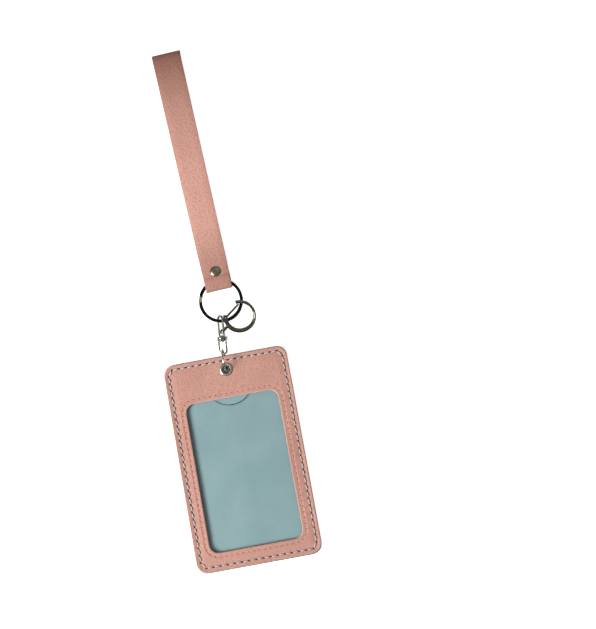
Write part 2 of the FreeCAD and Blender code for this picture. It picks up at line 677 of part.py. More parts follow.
bow_round = clasp_body.newObject("PartDesign::Chamfer", "bow_round")
bow_round.Base = (bow_pad, edges_where(bow_pad, on_bow_rim))
bow_round.setExpression("Size", "sizes.clasp_round")

eye_section = new_sketch(clasp_body, "eye_section")
wire_section(eye_section, "sizes.eye_wire", "places.eye_mean")
revolve(clasp_body, eye_section, "Y_Axis")
neck_profile = new_sketch(clasp_body, "neck_profile")
NECK_START = "places.eye_mean"
NECK_END = "sizes.clasp_length - places.clasp_bow / 2 + sizes.neck_sink"
polygon(
    neck_profile,
    "neck",
    [
        (NECK_START, "0"),
        (NECK_END, "0"),
        (NECK_END, "sizes.neck_width / 2"),
        (NECK_START, "sizes.neck_root / 2"),
    ],
)
revolve(clasp_body, neck_profile, "X_Axis")

# The heel is thinned from both faces to a tongue, which the gate's legs straddle.
for side, upwards in (("", True), ("-", False)):
    lift = f"{side}sizes.gate_tongue / 2"
    recess = new_sketch(clasp_body, "recess_above" if upwards else "recess_below", lift=lift)
    circle(recess, "recess", "sizes.gate_recess", "places.pivot_x", "places.pivot_y")
    pocket(clasp_body, recess, "sizes.clasp_thickness", upwards)
gate_bore = new_sketch(clasp_body, "gate_bore")
circle(gate_bore, "bore", "sizes.gate_wire + 2 * sizes.gate_fit", "places.pivot_x", "places.pivot_y")
pocket(clasp_body, gate_bore)
CLASP_TURN = turn_about("0; 0; 1", "sizes.clasp_heading") + " * " + turn_about("1; 0; 0", "sizes.clasp_tilt")
place(clasp_body, "places.eye_x", "places.eye_y", "places.eye_z", CLASP_TURN)

# The gate is one bent wire. In its own frame it runs along +X from its two pins, which lie on the Y axis.
clasp_gate = new_body("clasp_gate")
gate_path = new_sketch(clasp_gate, "gate_path")
leg, bend, far = value("sizes.gate_spread / 2"), value("sizes.gate_bend"), value("places.gate_length")
PIN_TIP = "sizes.gate_tip"
tip = value(PIN_TIP)
right_angle = math.pi / 2


def gate_arc(x, y, radius, start, end):
    gate_path.addGeometry(Part.ArcOfCircle(Part.Circle(Vector(x, y, 0), Vector(0, 0, 1), radius), start, end))


def gate_line(x0, y0, x1, y1):
    gate_path.addGeometry(Part.LineSegment(Vector(x0, y0, 0), Vector(x1, y1, 0)))


gate_line(0, tip, 0, leg - bend)
gate_arc(bend, leg - bend, bend, right_angle, 2 * right_angle)
gate_line(bend, leg, far - leg, leg)
gate_arc(far - leg, 0, leg, -right_angle, right_angle)
gate_line(far - leg, -leg, bend, -leg)
gate_arc(bend, bend - leg, bend, 2 * right_angle, 3 * right_angle)
gate_line(0, bend - leg, 0, -tip)
# Each joint is a line or arc, its end, the next line or arc, and that one's end.
for joint in ((0, 2, 1, 2), (1, 1, 2, 1), (2, 2, 3, 2), (3, 1, 4, 1), (4, 2, 5, 2), (5, 1, 6, 1)):
    gate_path.addConstraint(Sketcher.Constraint("Tangent", *joint))
gate_path.addConstraint(Sketcher.Constraint("Equal", 1, 5))
gate_path.addConstraint(Sketcher.Constraint("Horizontal", 2))
dimension(gate_path, "bend_radius", "sizes.gate_bend", "Radius", 1)
dimension(gate_path, "end_radius", "sizes.gate_spread / 2", "Radius", 3)
pin_point(gate_path, "upper_tip", 0, 1, "0", PIN_TIP)
pin_point(gate_path, "lower_tip", 6, 2, "0", f"-{PIN_TIP}")
pin_point(gate_path, "end_centre", 3, 3, "places.gate_length - sizes.gate_spread / 2", "0")
gate_section = new_sketch(clasp_gate, "gate_section", "XZ_Plane", f"-{PIN_TIP}")
wire_section(gate_section, "sizes.gate_wire")
pipe(clasp_gate, gate_path, gate_section)
GATE_TURN = turn_about("0; 0; 1", "places.gate_angle") + " * " + turn_about("1; 0; 0", "90")
GATE_PLACE = placement("places.pivot_x", "places.pivot_y", "0", GATE_TURN)
clasp_gate.setExpression("Placement", f"clasp_body.Placement * {GATE_PLACE}")

# The wrist strap is one long band. Its tail lies under the rivet, it goes round the split ring, runs to the
# far end and back, and ends between its own two layers at the rivet. In its own frame the split ring's
# centre is the origin and the strap runs along +Y.


def side_line(points, radii, offset):
    """The corners of a bent line moved sideways, with the bend radius at each."""
    corners, bends = [], []
    for i, point in enumerate(points):
        into = (point - points[i - 1]).normalize() if i else None
        out = (points[i + 1] - point).normalize() if i < len(points) - 1 else None
        into, out = into or out, out or into
        normal_in, normal_out = Vector(0, -into.z, into.y), Vector(0, -out.z, out.y)
        corners.append(point + (normal_in + normal_out) * (offset / (1 + normal_in.dot(normal_out))))
        bends.append(radii[i] - offset * math.copysign(1, into.cross(out).x))
    return corners, bends


def bent_edges(corners, bends):
    """Straight runs and tangent arcs through the corners."""
    edges, start = [], corners[0]
    for i in range(1, len(corners) - 1):
        into, out = (corners[i] - corners[i - 1]).normalize(), (corners[i + 1] - corners[i]).normalize()
        half_turn = into.getAngle(out) / 2
        run = bends[i] * math.tan(half_turn)
        first, last = corners[i] - into * run, corners[i] + out * run
        middle = corners[i] + (out - into).normalize() * (bends[i] / math.cos(half_turn) - bends[i])
        edges.append(Part.LineSegment(start, first).toShape())
        edges.append(Part.Arc(first, middle, last).toShape())
        start = last
    edges.append(Part.LineSegment(start, corners[-1]).toShape())
    return edges


def band(points, radii, thickness, width):
    """A band of even thickness along a bent line in the YZ plane, centred on X."""
    left, left_bends = side_line(points, radii, thickness / 2)
    right, right_bends = side_line(points, radii, -thickness / 2)
    edges = bent_edges(left, left_bends) + bent_edges(right, right_bends)
    edges.append(Part.LineSegment(left[0], right[0]).toShape())
    edges.append(Part.LineSegment(left[-1], right[-1]).toShape())
    wire = Part.Wire(Part.__sortEdges__(edges))
    face = Part.Face(wire)
    face.translate(Vector(-width / 2, 0, 0))
    return face.extrude(Vector(width, 0, 0))


width, waist, fold_width = (value(f"sizes.strap_{name}") for name in ("width", "waist", "fold"))
thick = value("sizes.strap_thickness")
ring_inner, ring_half = value("places.ring_inner"), value("places.ring_half")
pocket_half = ring_half + value("sizes.strap_room")
fold_z = pocket_half + thick / 2
layer_z = thick + value("sizes.layer_gap")
floor_z = thick / 2 + value("sizes.strap_floor - sizes.chain_height")
top_z = floor_z + value("sizes.strap_loop") - thick
chord = math.sqrt(ring_inner**2 - (fold_width / 2 + value("sizes.strap_side")) ** 2)
fold_y = chord - value("sizes.strap_play") - thick / 2
ring_y = value("sizes.ring_outer / 2")
rivet_y = value("places.rivet_y")
cap_radius = value("sizes.rivet_cap / 2 + sizes.rivet_clear")
tail_y = rivet_y + value("sizes.tail_length")
far_y = value("sizes.strap_reach") - thick / 2
rise_y = rivet_y + (far_y - rivet_y) / 3
slope_y = rivet_y - cap_radius
strap_run = [
    # y, z and bend radius of each corner of the strap's middle line
    (tail_y, -layer_z, 0),
    (slope_y, -layer_z, thick),
    (ring_y - thick / 10, -fold_z, thick),
    (fold_y, -fold_z, thick),
    (fold_y, fold_z, thick),
    (ring_y - thick / 10, fold_z, thick),
    (slope_y, layer_z, thick),
    (rivet_y + cap_radius + thick, layer_z, 30 * thick),
    (rise_y, layer_z + (top_z - layer_z) * 0.6, 60 * thick),
    (far_y, top_z, (top_z - floor_z) * 0.48),
    (far_y, floor_z, (top_z - floor_z) * 0.48),
    (tail_y + 7 * thick, floor_z, 10 * thick),
    (tail_y + thick / 2, 0, 3 * thick),
    (slope_y + thick / 4, 0, 0),
]
strap = band([Vector(0, y, z) for y, z, _ in strap_run], [r for _, _, r in strap_run], thick, width)
# Both edges are cut to a taper, from the far end to the waist and on to the fold.
depth = top_z - floor_z + 2 * thick
for side in (-1, 1):
    taper = [(fold_width / 2, fold_y - thick), (waist / 2, tail_y), (width / 2, far_y + thick)]
    taper += [(width, far_y + thick), (width, fold_y - thick)]
    corners = [Vector(side * x, y, floor_z - thick) for x, y in taper]
    offcut = Part.Face(Part.makePolygon(corners + corners[:1])).extrude(Vector(0, 0, depth))
    strap = strap.cut(offcut)
post_hole = Part.makeCylinder(
    value("sizes.rivet_post / 2 + sizes.rivet_fit"), 4 * layer_z, Vector(0, rivet_y, -2 * layer_z)
)
# The tail is cut to a half round, as wide as the waist.
tail_low = -layer_z - thick / 2 - value("sizes.layer_gap / 2")
tail_box = Part.makeBox(width, waist / 2, layer_z, Vector(-width / 2, tail_y - waist / 2, tail_low))
tail_round = Part.makeCylinder(waist / 2, layer_z, Vector(0, tail_y - waist / 2, tail_low))
strap = strap.cut(post_hole).cut(tail_box.cut(tail_round))
wrist_strap = doc.addObject("Part::Feature", "wrist_strap")
wrist_strap.Shape = strap
STRAP_TURN = turn_about("0; 0; 1", "sizes.strap_lean")
place(wrist_strap, "places.strap_x", "places.strap_y", "sizes.chain_height", STRAP_TURN)

# The strap's rivet: a capped post from behind and a domed cap pressed onto it.
POST = "sizes.rivet_post / 2"
CAP = "sizes.rivet_cap / 2"
STACK = "places.stack_half"
rivet_post = turned_piece(
    "rivet_post",
    [
        ("0", f"-({STACK} + sizes.rivet_base)"),
        (f"{CAP} * 0.6", f"-({STACK} + sizes.rivet_base)"),
        (f"{CAP} * 0.9", f"-({STACK} + sizes.rivet_base * 0.7)"),
        (CAP, f"-({STACK} + sizes.rivet_base * 0.3)"),
        (CAP, f"-{STACK}"),
        (POST, f"-{STACK}"),
        (POST, f"{STACK} + sizes.rivet_socket"),
        ("0", f"{STACK} + sizes.rivet_socket"),
    ],
)
rivet_cap = turned_piece(
    "rivet_cap",
    [
        ("0", f"{STACK} + sizes.rivet_socket"),
        (f"{POST} + sizes.rivet_fit", f"{STACK} + sizes.rivet_socket"),
        (f"{POST} + sizes.rivet_fit", STACK),
        (CAP, STACK),
        (CAP, f"{STACK} + sizes.rivet_crown * 0.3"),
        (f"{CAP} * 0.92", f"{STACK} + sizes.rivet_crown * 0.62"),
        (f"{CAP} * 0.7", f"{STACK} + sizes.rivet_crown * 0.87"),
        (f"{CAP} * 0.35", f"{STACK} + sizes.rivet_crown"),
        ("0", f"{STACK} + sizes.rivet_crown"),
    ],
)
for piece in (rivet_post, rivet_cap):
    seat = placement("0", "places.rivet_y", "0", NO_TURN)
    piece.setExpression("Placement", f"wrist_strap.Placement * {seat}")

doc.recompute()

PIECES = [
    front_panel,
    front_lining,
    window_film,
    back_lining,
    back_panel,
    eyelet,
    eyelet_washer,
    jump_ring,
    swivel_lower_loop,
    swivel_pin,
    swivel_upper_loop,
    split_ring,
    clasp_body,
    clasp_gate,
    wrist_strap,
    rivet_post,
    rivet_cap,
]
failed = [item.Name for item in doc.Objects if {"Invalid", "Error"} & set(item.State)]
for piece in PIECES:
    shape = piece.Shape
    if shape.isNull() or not shape.isValid() or len(shape.Solids) != 1:
        failed.append(piece.Label)
if failed:
    raise RuntimeError(f"these did not build: {failed}")
for piece in PIECES:
    piece.Shape.exportStep(f"parts/{piece.Label}.step")
    box = piece.Shape.BoundBox
    print(f"{piece.Label}: {box.XLength:.2f} x {box.YLength:.2f} x {box.ZLength:.2f} mm")
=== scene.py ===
# %% [markdown]
# # A badge wallet with a wrist strap
# The wallet is a sewn stack of flat sheets: leather, lining, clear film and leather again. A short chain of
# metal hardware joins it to a folded strap. The hard pieces come finished from the CAD model. The sheets are
# made again here, because leather has soft edges, sewn grooves and a grain that a plain solid doesn't show.

# %% Load the fixed frame
import json
import math

import bmesh
import bpy
from mathutils import Matrix, Vector

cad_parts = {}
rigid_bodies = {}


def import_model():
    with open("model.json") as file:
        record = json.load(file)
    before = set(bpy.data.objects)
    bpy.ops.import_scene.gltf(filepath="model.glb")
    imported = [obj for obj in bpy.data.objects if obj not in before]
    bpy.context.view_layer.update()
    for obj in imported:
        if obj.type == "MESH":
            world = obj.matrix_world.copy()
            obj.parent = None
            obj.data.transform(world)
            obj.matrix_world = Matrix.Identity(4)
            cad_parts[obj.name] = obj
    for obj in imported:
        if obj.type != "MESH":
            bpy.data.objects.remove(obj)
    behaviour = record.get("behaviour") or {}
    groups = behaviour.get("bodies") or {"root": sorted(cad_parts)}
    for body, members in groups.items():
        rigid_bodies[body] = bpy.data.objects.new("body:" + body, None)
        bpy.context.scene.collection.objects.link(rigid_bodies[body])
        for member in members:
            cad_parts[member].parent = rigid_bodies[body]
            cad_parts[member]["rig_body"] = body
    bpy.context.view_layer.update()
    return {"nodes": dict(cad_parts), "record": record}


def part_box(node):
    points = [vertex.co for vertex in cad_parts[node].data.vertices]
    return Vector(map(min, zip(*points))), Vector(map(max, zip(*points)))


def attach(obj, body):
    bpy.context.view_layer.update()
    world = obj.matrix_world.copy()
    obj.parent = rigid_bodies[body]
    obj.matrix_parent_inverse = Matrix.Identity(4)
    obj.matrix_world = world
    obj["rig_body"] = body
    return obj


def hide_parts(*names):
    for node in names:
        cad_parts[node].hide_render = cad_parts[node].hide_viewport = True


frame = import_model()
MM = 0.001

# %% [markdown]
# ## Camera
# The wallet was photographed from nearly straight above. Four corners of the wallet give the place, tilt and
# roll of the camera once its distance is chosen. A distance of about half a metre suits the slight narrowing
# towards the top edge.

# %% Camera
IMAGE_WIDTH = 596
FOCAL_PIXELS = 906.5
SENSOR_WIDTH = 36
CAMERA_PLACE = Vector((47.5, 33.2, 512.0)) * MM
CAMERA_TARGET = Vector((45.14, 73.26, 5.0)) * MM
CAMERA_UP = Vector((0.1826, 0.9802, 0.0766))
NEAR_CLIP = 10 * MM


def add_object(name, data):
    """A new object that shows in the scene."""
    thing = bpy.data.objects.new(name, data)
    bpy.context.collection.objects.link(thing)
    return thing


def aim(place, target, up):
    """A matrix at a place that looks along -Z at the target, with +Y near up."""
    back = (place - target).normalized()
    right = up.cross(back).normalized()
    turn = Matrix((right, back.cross(right), back)).transposed()
    return Matrix.Translation(place) @ turn.to_4x4()


camera_data = bpy.data.cameras.new("camera")
camera_data.sensor_fit = "HORIZONTAL"
camera_data.sensor_width = SENSOR_WIDTH
camera_data.lens = FOCAL_PIXELS / IMAGE_WIDTH * SENSOR_WIDTH
camera_data.clip_start = NEAR_CLIP
camera = add_object("camera", camera_data)
camera.matrix_world = aim(CAMERA_PLACE, CAMERA_TARGET, CAMERA_UP)
bpy.context.scene.camera = camera
print("camera lens", round(camera_data.lens, 2), "mm")

# %% [markdown]
# ## Lamps
# One large soft lamp stands low on the left, a little towards the viewer, so that the window's left and lower
# edges throw a shadow and the cut edge on the right is lit, as in the photograph. A weaker lamp fills the
# shadows. The view transform is Standard, so that colours come out as they are mixed.

# %% Lamps
bpy.context.scene.view_settings.view_transform = "Standard"


def lamp(name, place, target, size, watts):
    """A square lamp that shines on a target."""
    data = bpy.data.lights.new(name, "AREA")
    data.size = size
    data.energy = watts
    add_object(name, data).matrix_world = aim(Vector(place), Vector(target), Vector((0, 0, 1)))


lamp("key_lamp", place=(-0.85, -0.18, 0.82), target=(0.0, 0.05, 0.0), size=0.5, watts=18.8)
lamp("fill_lamp", place=(0.55, 0.75, 0.95), target=(0.0, 0.06, 0.0), size=1.2, watts=1.4)

# %% [markdown]
# ## Room and floor
# The world is a plain room, brighter overhead than at eye level: bright metal needs something darker to
# reflect at its sides, or it turns into white paint. Seen straight on, the room is a pale backdrop. The floor
# is white to the eye, and keeps a soft shadow. It doesn't glow under the wallet, so the eyelet's hole stays
# dark. Both are node trees, and a few helpers keep all node trees here short: each input is given by its name,
# as a constant or as a link.

# %% Room
ROOM_AT_EYE, ROOM_OVERHEAD, BACKDROP = 0.01, 0.30, 0.9
WHITE = (1, 1, 1, 1)


def feed(tree, socket, source):
    """Gives an input a constant, or a link from another socket."""
    if isinstance(source, bpy.types.NodeSocket):
        tree.links.new(source, socket)
    else:
        socket.default_value = source


def set_node(tree, node, **settings):
    """Gives a node its settings by name, and its inputs by the names on screen, with _ for a space."""
    for name, setting in settings.items():
        if hasattr(node, name):
            setattr(node, name, setting)
        else:
            feed(tree, node.inputs[name.replace("_", " ")], setting)
    return node


def add_node(tree, kind, **settings):
    """A new node with its settings and inputs."""
    return set_node(tree, tree.nodes.new(kind), **settings)


def calculate(tree, operation, *terms, kind="ShaderNodeMath", result="Value"):
    """The result of a maths node."""
    node = add_node(tree, kind, operation=operation)
    for socket, term in zip(node.inputs, terms):
        feed(tree, socket, term)
    return node.outputs[result]


def remap(tree, source, low, high, new_low, new_high):
    """A number moved from one range to another, and held at its ends."""
    node = add_node(tree, "ShaderNodeMapRange")
    for socket, term in zip(node.inputs, (source, low, high, new_low, new_high)):
        feed(tree, socket, term)
    return node.outputs[0]


world = bpy.data.worlds.new("studio")
world.use_nodes = True
bpy.context.scene.world = world
room = world.node_tree
way = add_node(room, "ShaderNodeTexCoord").outputs["Generated"]
upwards = add_node(room, "ShaderNodeSeparateXYZ", Vector=way).outputs["Z"]
room_level = remap(room, upwards, 0.0, 1.0, ROOM_AT_EYE, ROOM_OVERHEAD)
straight_on = add_node(room, "ShaderNodeLightPath").outputs["Is Camera Ray"]
backdrop = calculate(room, "MULTIPLY", straight_on, BACKDROP)
set_node(room, room.nodes["Background"], Color=WHITE, Strength=calculate(room, "MAXIMUM", room_level, backdrop))
print("room from", ROOM_AT_EYE, "to", ROOM_OVERHEAD, "with a backdrop of", BACKDROP)

# %% Floor
FLOOR_HALF, FLOOR_Z = 6.0, -0.2 * MM
FLOOR_TONE, FLOOR_ROUGHNESS, FLOOR_GLOW = 0.86, 0.9, 0.83
# The glow fades out over this width, inside the wallet's outline.
GLOW_EDGE = 4 * MM


def new_material(name):
    """A material with its node tree and its shader."""
    material = bpy.data.materials.new(name)
    material.use_nodes = True
    tree = material.node_tree
    return material, tree, tree.nodes["Principled BSDF"]


def own_space(tree):
    """The place of each shaded point in its piece's own frame."""
    return add_node(tree, "ShaderNodeTexCoord").outputs["Object"]


floor_mesh = bpy.data.meshes.new("floor")
corners = [(FLOOR_HALF * x, FLOOR_HALF * y, FLOOR_Z) for x, y in ((-1, -1), (1, -1), (1, 1), (-1, 1))]
floor_mesh.from_pydata(corners, [], [(0, 1, 2, 3)])
floor = add_object("floor", floor_mesh)
floor_paint, floor_tree, floor_bsdf = new_material("floor_white")
floor_mesh.materials.append(floor_paint)
wallet_low, wallet_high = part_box("back_panel")
floor_spot = add_node(floor_tree, "ShaderNodeSeparateXYZ", Vector=own_space(floor_tree))
clear_of_wallet = []
for axis, half in (("X", wallet_high[0]), ("Y", -wallet_low[1])):
    away = calculate(floor_tree, "ABSOLUTE", floor_spot.outputs[axis])
    clear_of_wallet.append(remap(floor_tree, away, half - GLOW_EDGE, half, 0.0, FLOOR_GLOW))
path = add_node(floor_tree, "ShaderNodeLightPath").outputs
seen = calculate(floor_tree, "MAXIMUM", path["Is Camera Ray"], path["Is Transmission Ray"])
glow = calculate(floor_tree, "MULTIPLY", seen, calculate(floor_tree, "MAXIMUM", *clear_of_wallet))
set_node(
    floor_tree, floor_bsdf, Base_Color=(FLOOR_TONE, FLOOR_TONE, FLOOR_TONE, 1), Roughness=FLOOR_ROUGHNESS,
    Emission_Color=WHITE, Emission_Strength=glow,
)
print("floor", 2 * FLOOR_HALF, "m wide")

# %% [markdown]
# ## Leather
# The panels are coated leather with a pressed pebble grain. The grain could be carved, but thousands of
# pebbles under a millimetre wide are better as bump. Smooth cells give the pebbles, a warp makes them
# uneven, and a fine noise breaks the gloss. The cut edges show the core, so each sheet carries an attribute
# that says where its edge was cut. A second attribute says where the leather is painted browner: partly wear
# from handling, partly painted shade where the light falls off towards the strap's ends.

# %% Leather
CUT, WEAR_AND_SHADE = "cut_edge", "wear_and_shade"
NOISE_LOW, NOISE_HIGH = 0.3, 0.7
# Scales of the warp and the fine skin go by the pebble, and heights are shares of the pebble's height.
WARP_SCALE, WARP_SWAY, FINE_SCALE, CLOUD_SCALE = 0.45, 0.9, 5, 55.0
PEBBLE_TOP, PEBBLE_FOOT, FINE_HEIGHT = 0.1, 0.75, 0.3
CLOUD_TINT, CREASE_SHADE, CREASE_HEIGHT = 0.55, 0.7, 0.7


def srgb(red, green, blue):
    """A colour as a picture editor gives it, 0 to 255, made linear."""
    def linear(n):
        n = n / 255
        return n / 12.92 if n <= 0.04045 else ((n + 0.055) / 1.055) ** 2.4

    return (linear(red), linear(green), linear(blue), 1)


def mix_colour(tree, factor, first, second):
    """A colour between two; each is a socket or a constant. A mix node has its colours at inputs 6 and 7."""
    node = add_node(tree, "ShaderNodeMix", data_type="RGBA", Factor=factor)
    feed(tree, node.inputs[6], first)
    feed(tree, node.inputs[7], second)
    return node.outputs[2]


def noise(tree, place, scale, detail):
    """The outputs of a noise texture."""
    return add_node(tree, "ShaderNodeTexNoise", Vector=place, Scale=scale, Detail=detail).outputs


def spread(tree, source, low, high):
    """The range in which a noise mostly lies, spread over another one."""
    return remap(tree, source, NOISE_LOW, NOISE_HIGH, low, high)


def attribute(tree, name):
    """A number that the mesh stores at each point."""
    return add_node(tree, "ShaderNodeAttribute", attribute_name=name).outputs["Fac"]


def bump(tree, height, strength, distance):
    """A normal that leans with a height; distance is the size of one unit of height."""
    return add_node(tree, "ShaderNodeBump", Height=height, Strength=strength, Distance=distance).outputs[0]


def leather(name, light, dark, core, brown, pebble, depth):
    """Pebbled leather; pebble is the width of one grain and depth its height, in metres."""
    material, tree, bsdf = new_material(name)
    place = own_space(tree)
    warp = noise(tree, place, WARP_SCALE / pebble, detail=2.0)["Color"]
    sway = add_node(
        tree, "ShaderNodeVectorMath", operation="SCALE", Vector=warp, Scale=pebble * WARP_SWAY
    ).outputs[0]
    bent = calculate(tree, "ADD", place, sway, kind="ShaderNodeVectorMath", result="Vector")
    cells = add_node(
        tree, "ShaderNodeTexVoronoi", feature="SMOOTH_F1", Vector=bent, Scale=1 / pebble, Smoothness=0.35
    )
    fine = noise(tree, place, FINE_SCALE / pebble, detail=3.0)["Fac"]
    clouds = noise(tree, place, CLOUD_SCALE, detail=3.0)["Fac"]
    pebbles = remap(tree, cells.outputs["Distance"], PEBBLE_TOP, PEBBLE_FOOT, 1.0, 0.0)
    height = calculate(tree, "ADD", pebbles, spread(tree, fine, 0.0, FINE_HEIGHT))
    tint = spread(tree, clouds, 0.0, CLOUD_TINT)
    # Painted shade: the low creases between the pebbles are painted darker, where shade falls between them.
    crease_shade = remap(tree, pebbles, 0.0, CREASE_HEIGHT, CREASE_SHADE, 0.0)
    grain = mix_colour(tree, calculate(tree, "MAXIMUM", tint, crease_shade), light, dark)
    # Painted browner where the mesh says so: partly wear, partly painted shade for light that falls off along
    # the strap.
    handled_and_shaded = mix_colour(tree, attribute(tree, WEAR_AND_SHADE), grain, brown)
    set_node(
        tree, bsdf, Base_Color=mix_colour(tree, attribute(tree, CUT), handled_and_shaded, core),
        Roughness=spread(tree, fine, 0.50, 0.66), Specular_IOR_Level=0.42,
        Normal=bump(tree, height, strength=0.85, distance=depth),
    )
    return material


BROWN, CORE = srgb(126, 84, 68), srgb(220, 178, 164)
wallet_leather = leather(
    "wallet_leather", srgb(210, 157, 142), srgb(178, 125, 109), CORE, BROWN, pebble=0.75 * MM, depth=0.15 * MM
)
strap_leather = leather(
    "strap_leather", srgb(222, 167, 151), srgb(194, 140, 124), CORE, BROWN, pebble=1.05 * MM, depth=0.16 * MM
)
print("leathers", wallet_leather.name, strap_leather.name)

# %% [markdown]
# ## Lining, film, thread and metal
# The lining is a smooth blue-grey sheet with soft clouds in its colour. The film could be shaded as glass, but
# so thin a sheet hardly bends light: a low alpha lets light and shadow through, and its gloss is left to the
# shader. The thread's twist is a stripe that winds along each stitch. The metals differ in their plating, with
# fine scratches in the roughness. The split ring is black, apart from its cut end.

# %% Lining and shades
FIBRE_SCALE, FIBRE_GLOSS = 60, 0.06


def cloudy(name, light, dark, edge, scale, roughness):
    """A smooth sheet with soft clouds of a second colour, and a third colour on its cut edge."""
    material, tree, bsdf = new_material(name)
    place = own_space(tree)
    clouds = noise(tree, place, scale, detail=4.0)["Fac"]
    fibres = noise(tree, place, scale * FIBRE_SCALE, detail=2.0)["Fac"]
    face = mix_colour(tree, spread(tree, clouds, 0.0, 1.0), light, dark)
    set_node(
        tree, bsdf, Base_Color=mix_colour(tree, attribute(tree, CUT), face, edge),
        Roughness=spread(tree, fibres, roughness - FIBRE_GLOSS, roughness + FIBRE_GLOSS),
        Normal=bump(tree, fibres, strength=0.25, distance=0.02 * MM),
    )
    return material


# Painted shade: the lining sheets' cut edges get this darker grey-green, the tone their blue-grey edge shows in
# shadow.
SHADED_EDGE_GREY = srgb(112, 118, 108)
lining_sheet = cloudy("lining_sheet", srgb(142, 171, 174), srgb(130, 161, 165), SHADED_EDGE_GREY, 45.0, 0.46)
hole_shade = cloudy("hole_shade", srgb(58, 40, 36), srgb(40, 28, 26), SHADED_EDGE_GREY, 900.0, 0.8)
needle_shade = cloudy("needle_shade", srgb(126, 76, 66), srgb(108, 64, 56), SHADED_EDGE_GREY, 900.0, 0.7)
# Painted shade: the clear film's cut edge is painted dark, standing in for how light bends at a clear edge.
film_edge = cloudy("film_edge", srgb(60, 70, 72), srgb(42, 52, 54), SHADED_EDGE_GREY, 300.0, 0.35)
# Painted shade: a near-black colour for the window's cut wall, standing in for the deep shadow inside the
# window's left and lower edges.
painted_shade_wall = cloudy("painted_shade_wall", srgb(44, 38, 36), srgb(36, 31, 30), srgb(40, 34, 33), 300.0, 0.6)
print("sheets", [m.name for m in (lining_sheet, hole_shade, needle_shade, film_edge, painted_shade_wall)])

# %% Film and thread
clear_film, film_tree, film_bsdf = new_material("clear_film")
haze = noise(film_tree, own_space(film_tree), scale=70.0, detail=3.0)["Fac"]
set_node(
    film_tree, film_bsdf, Base_Color=srgb(158, 184, 187), Roughness=spread(film_tree, haze, 0.12, 0.2),
    Alpha=spread(film_tree, haze, 0.05, 0.08), Normal=bump(film_tree, haze, strength=0.15, distance=0.1 * MM),
)

TWIST = "twist"
DARK_STRAND, LIGHT_STRAND = srgb(162, 158, 156), srgb(224, 222, 220)
thread, thread_tree, thread_bsdf = new_material("grey_thread")
strand = calculate(thread_tree, "SINE", attribute(thread_tree, TWIST))
strand_share = remap(thread_tree, strand, -1.0, 1.0, 0.0, 1.0)
set_node(
    thread_tree, thread_bsdf, Base_Color=mix_colour(thread_tree, strand_share, DARK_STRAND, LIGHT_STRAND),
    Roughness=remap(thread_tree, strand, -1.0, 1.0, 0.6, 0.4),
    Normal=bump(thread_tree, strand, strength=0.7, distance=0.08 * MM),
)
print("film and thread", clear_film.name, thread.name)

# %% Metal
BARE_STEEL, BARE_FROM, BARE_TO = srgb(200, 198, 190), 1.3 * MM, 1.9 * MM
TONE_SCALE, SCRATCH_SCALE, POLISH, SCRATCH = 500.0, 2600.0, 0.05, 0.08


def plated(name, light, dark, roughness, bare_end=None):
    """Plated metal with fine scratches and an uneven tone; bare_end is a point where the bare steel shows."""
    material, tree, bsdf = new_material(name)
    place = own_space(tree)
    tone = noise(tree, place, TONE_SCALE, detail=3.0)["Fac"]
    scratches = noise(tree, place, SCRATCH_SCALE, detail=2.0)["Fac"]
    plate = mix_colour(tree, spread(tree, tone, 0.0, 1.0), light, dark)
    if bare_end is not None:
        away = calculate(tree, "DISTANCE", place, bare_end, kind="ShaderNodeVectorMath")
        plate = mix_colour(tree, remap(tree, away, BARE_FROM, BARE_TO, 1.0, 0.0), plate, BARE_STEEL)
    dull = spread(tree, scratches, roughness - POLISH, roughness + SCRATCH)
    set_node(tree, bsdf, Base_Color=plate, Roughness=dull, Metallic=1.0)
    return material


joints = {joint["name"]: joint for joint in frame["record"]["behaviour"]["joints"]}
ring_centre = Vector(joints["key_ring_turn"]["pos_m"])
RING_MIDDLE, RING_END = 11.6 * MM, math.radians(167)
ring_end = ring_centre + RING_MIDDLE * Vector((math.cos(RING_END), math.sin(RING_END), 0))
nickel = plated("nickel", srgb(202, 200, 189), srgb(172, 170, 159), 0.14)
eyelet_plate = plated("eyelet_plate", srgb(214, 211, 198), srgb(192, 189, 176), 0.30)
rivet_plate = plated("rivet_plate", srgb(160, 154, 131), srgb(140, 134, 113), 0.24)
gunmetal = plated("gunmetal", srgb(134, 130, 114), srgb(108, 105, 93), 0.20)
black_nickel = plated("black_nickel", srgb(44, 44, 44), srgb(34, 34, 35), 0.24, ring_end)
print("plated", [m.name for m in (nickel, eyelet_plate, rivet_plate, gunmetal, black_nickel)])

# %% [markdown]
# ## Hardware
# The wires, rings and caps come from the CAD model as loose triangles, which shade as flat facets. A copy of
# each is welded and shaded smooth, with its real edges kept sharp by their angle. That leaves every size as it
# is, so no wire has to be modelled twice.

# %% Hardware
WELD = 0.001 * MM
WIRE_ANGLE, CAST_ANGLE = math.radians(40), math.radians(50)


def polished(node, finish, sharp):
    """A welded, smooth copy of a hard node in its plating."""
    solid = frame["nodes"][node]
    mesh = solid.data.copy()
    weld = bmesh.new()
    weld.from_mesh(mesh)
    bmesh.ops.remove_doubles(weld, verts=weld.verts, dist=WELD)
    weld.to_mesh(mesh)
    weld.free()
    if "custom_normal" in mesh.attributes:
        mesh.attributes.remove(mesh.attributes["custom_normal"])
    mesh.shade_smooth()
    mesh.set_sharp_from_angle(angle=sharp)
    mesh.materials.clear()
    mesh.materials.append(finish)
    thing = add_object(f"{node}_polished", mesh)
    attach(thing, solid["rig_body"])
    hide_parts(node)
    return len(mesh.polygons)


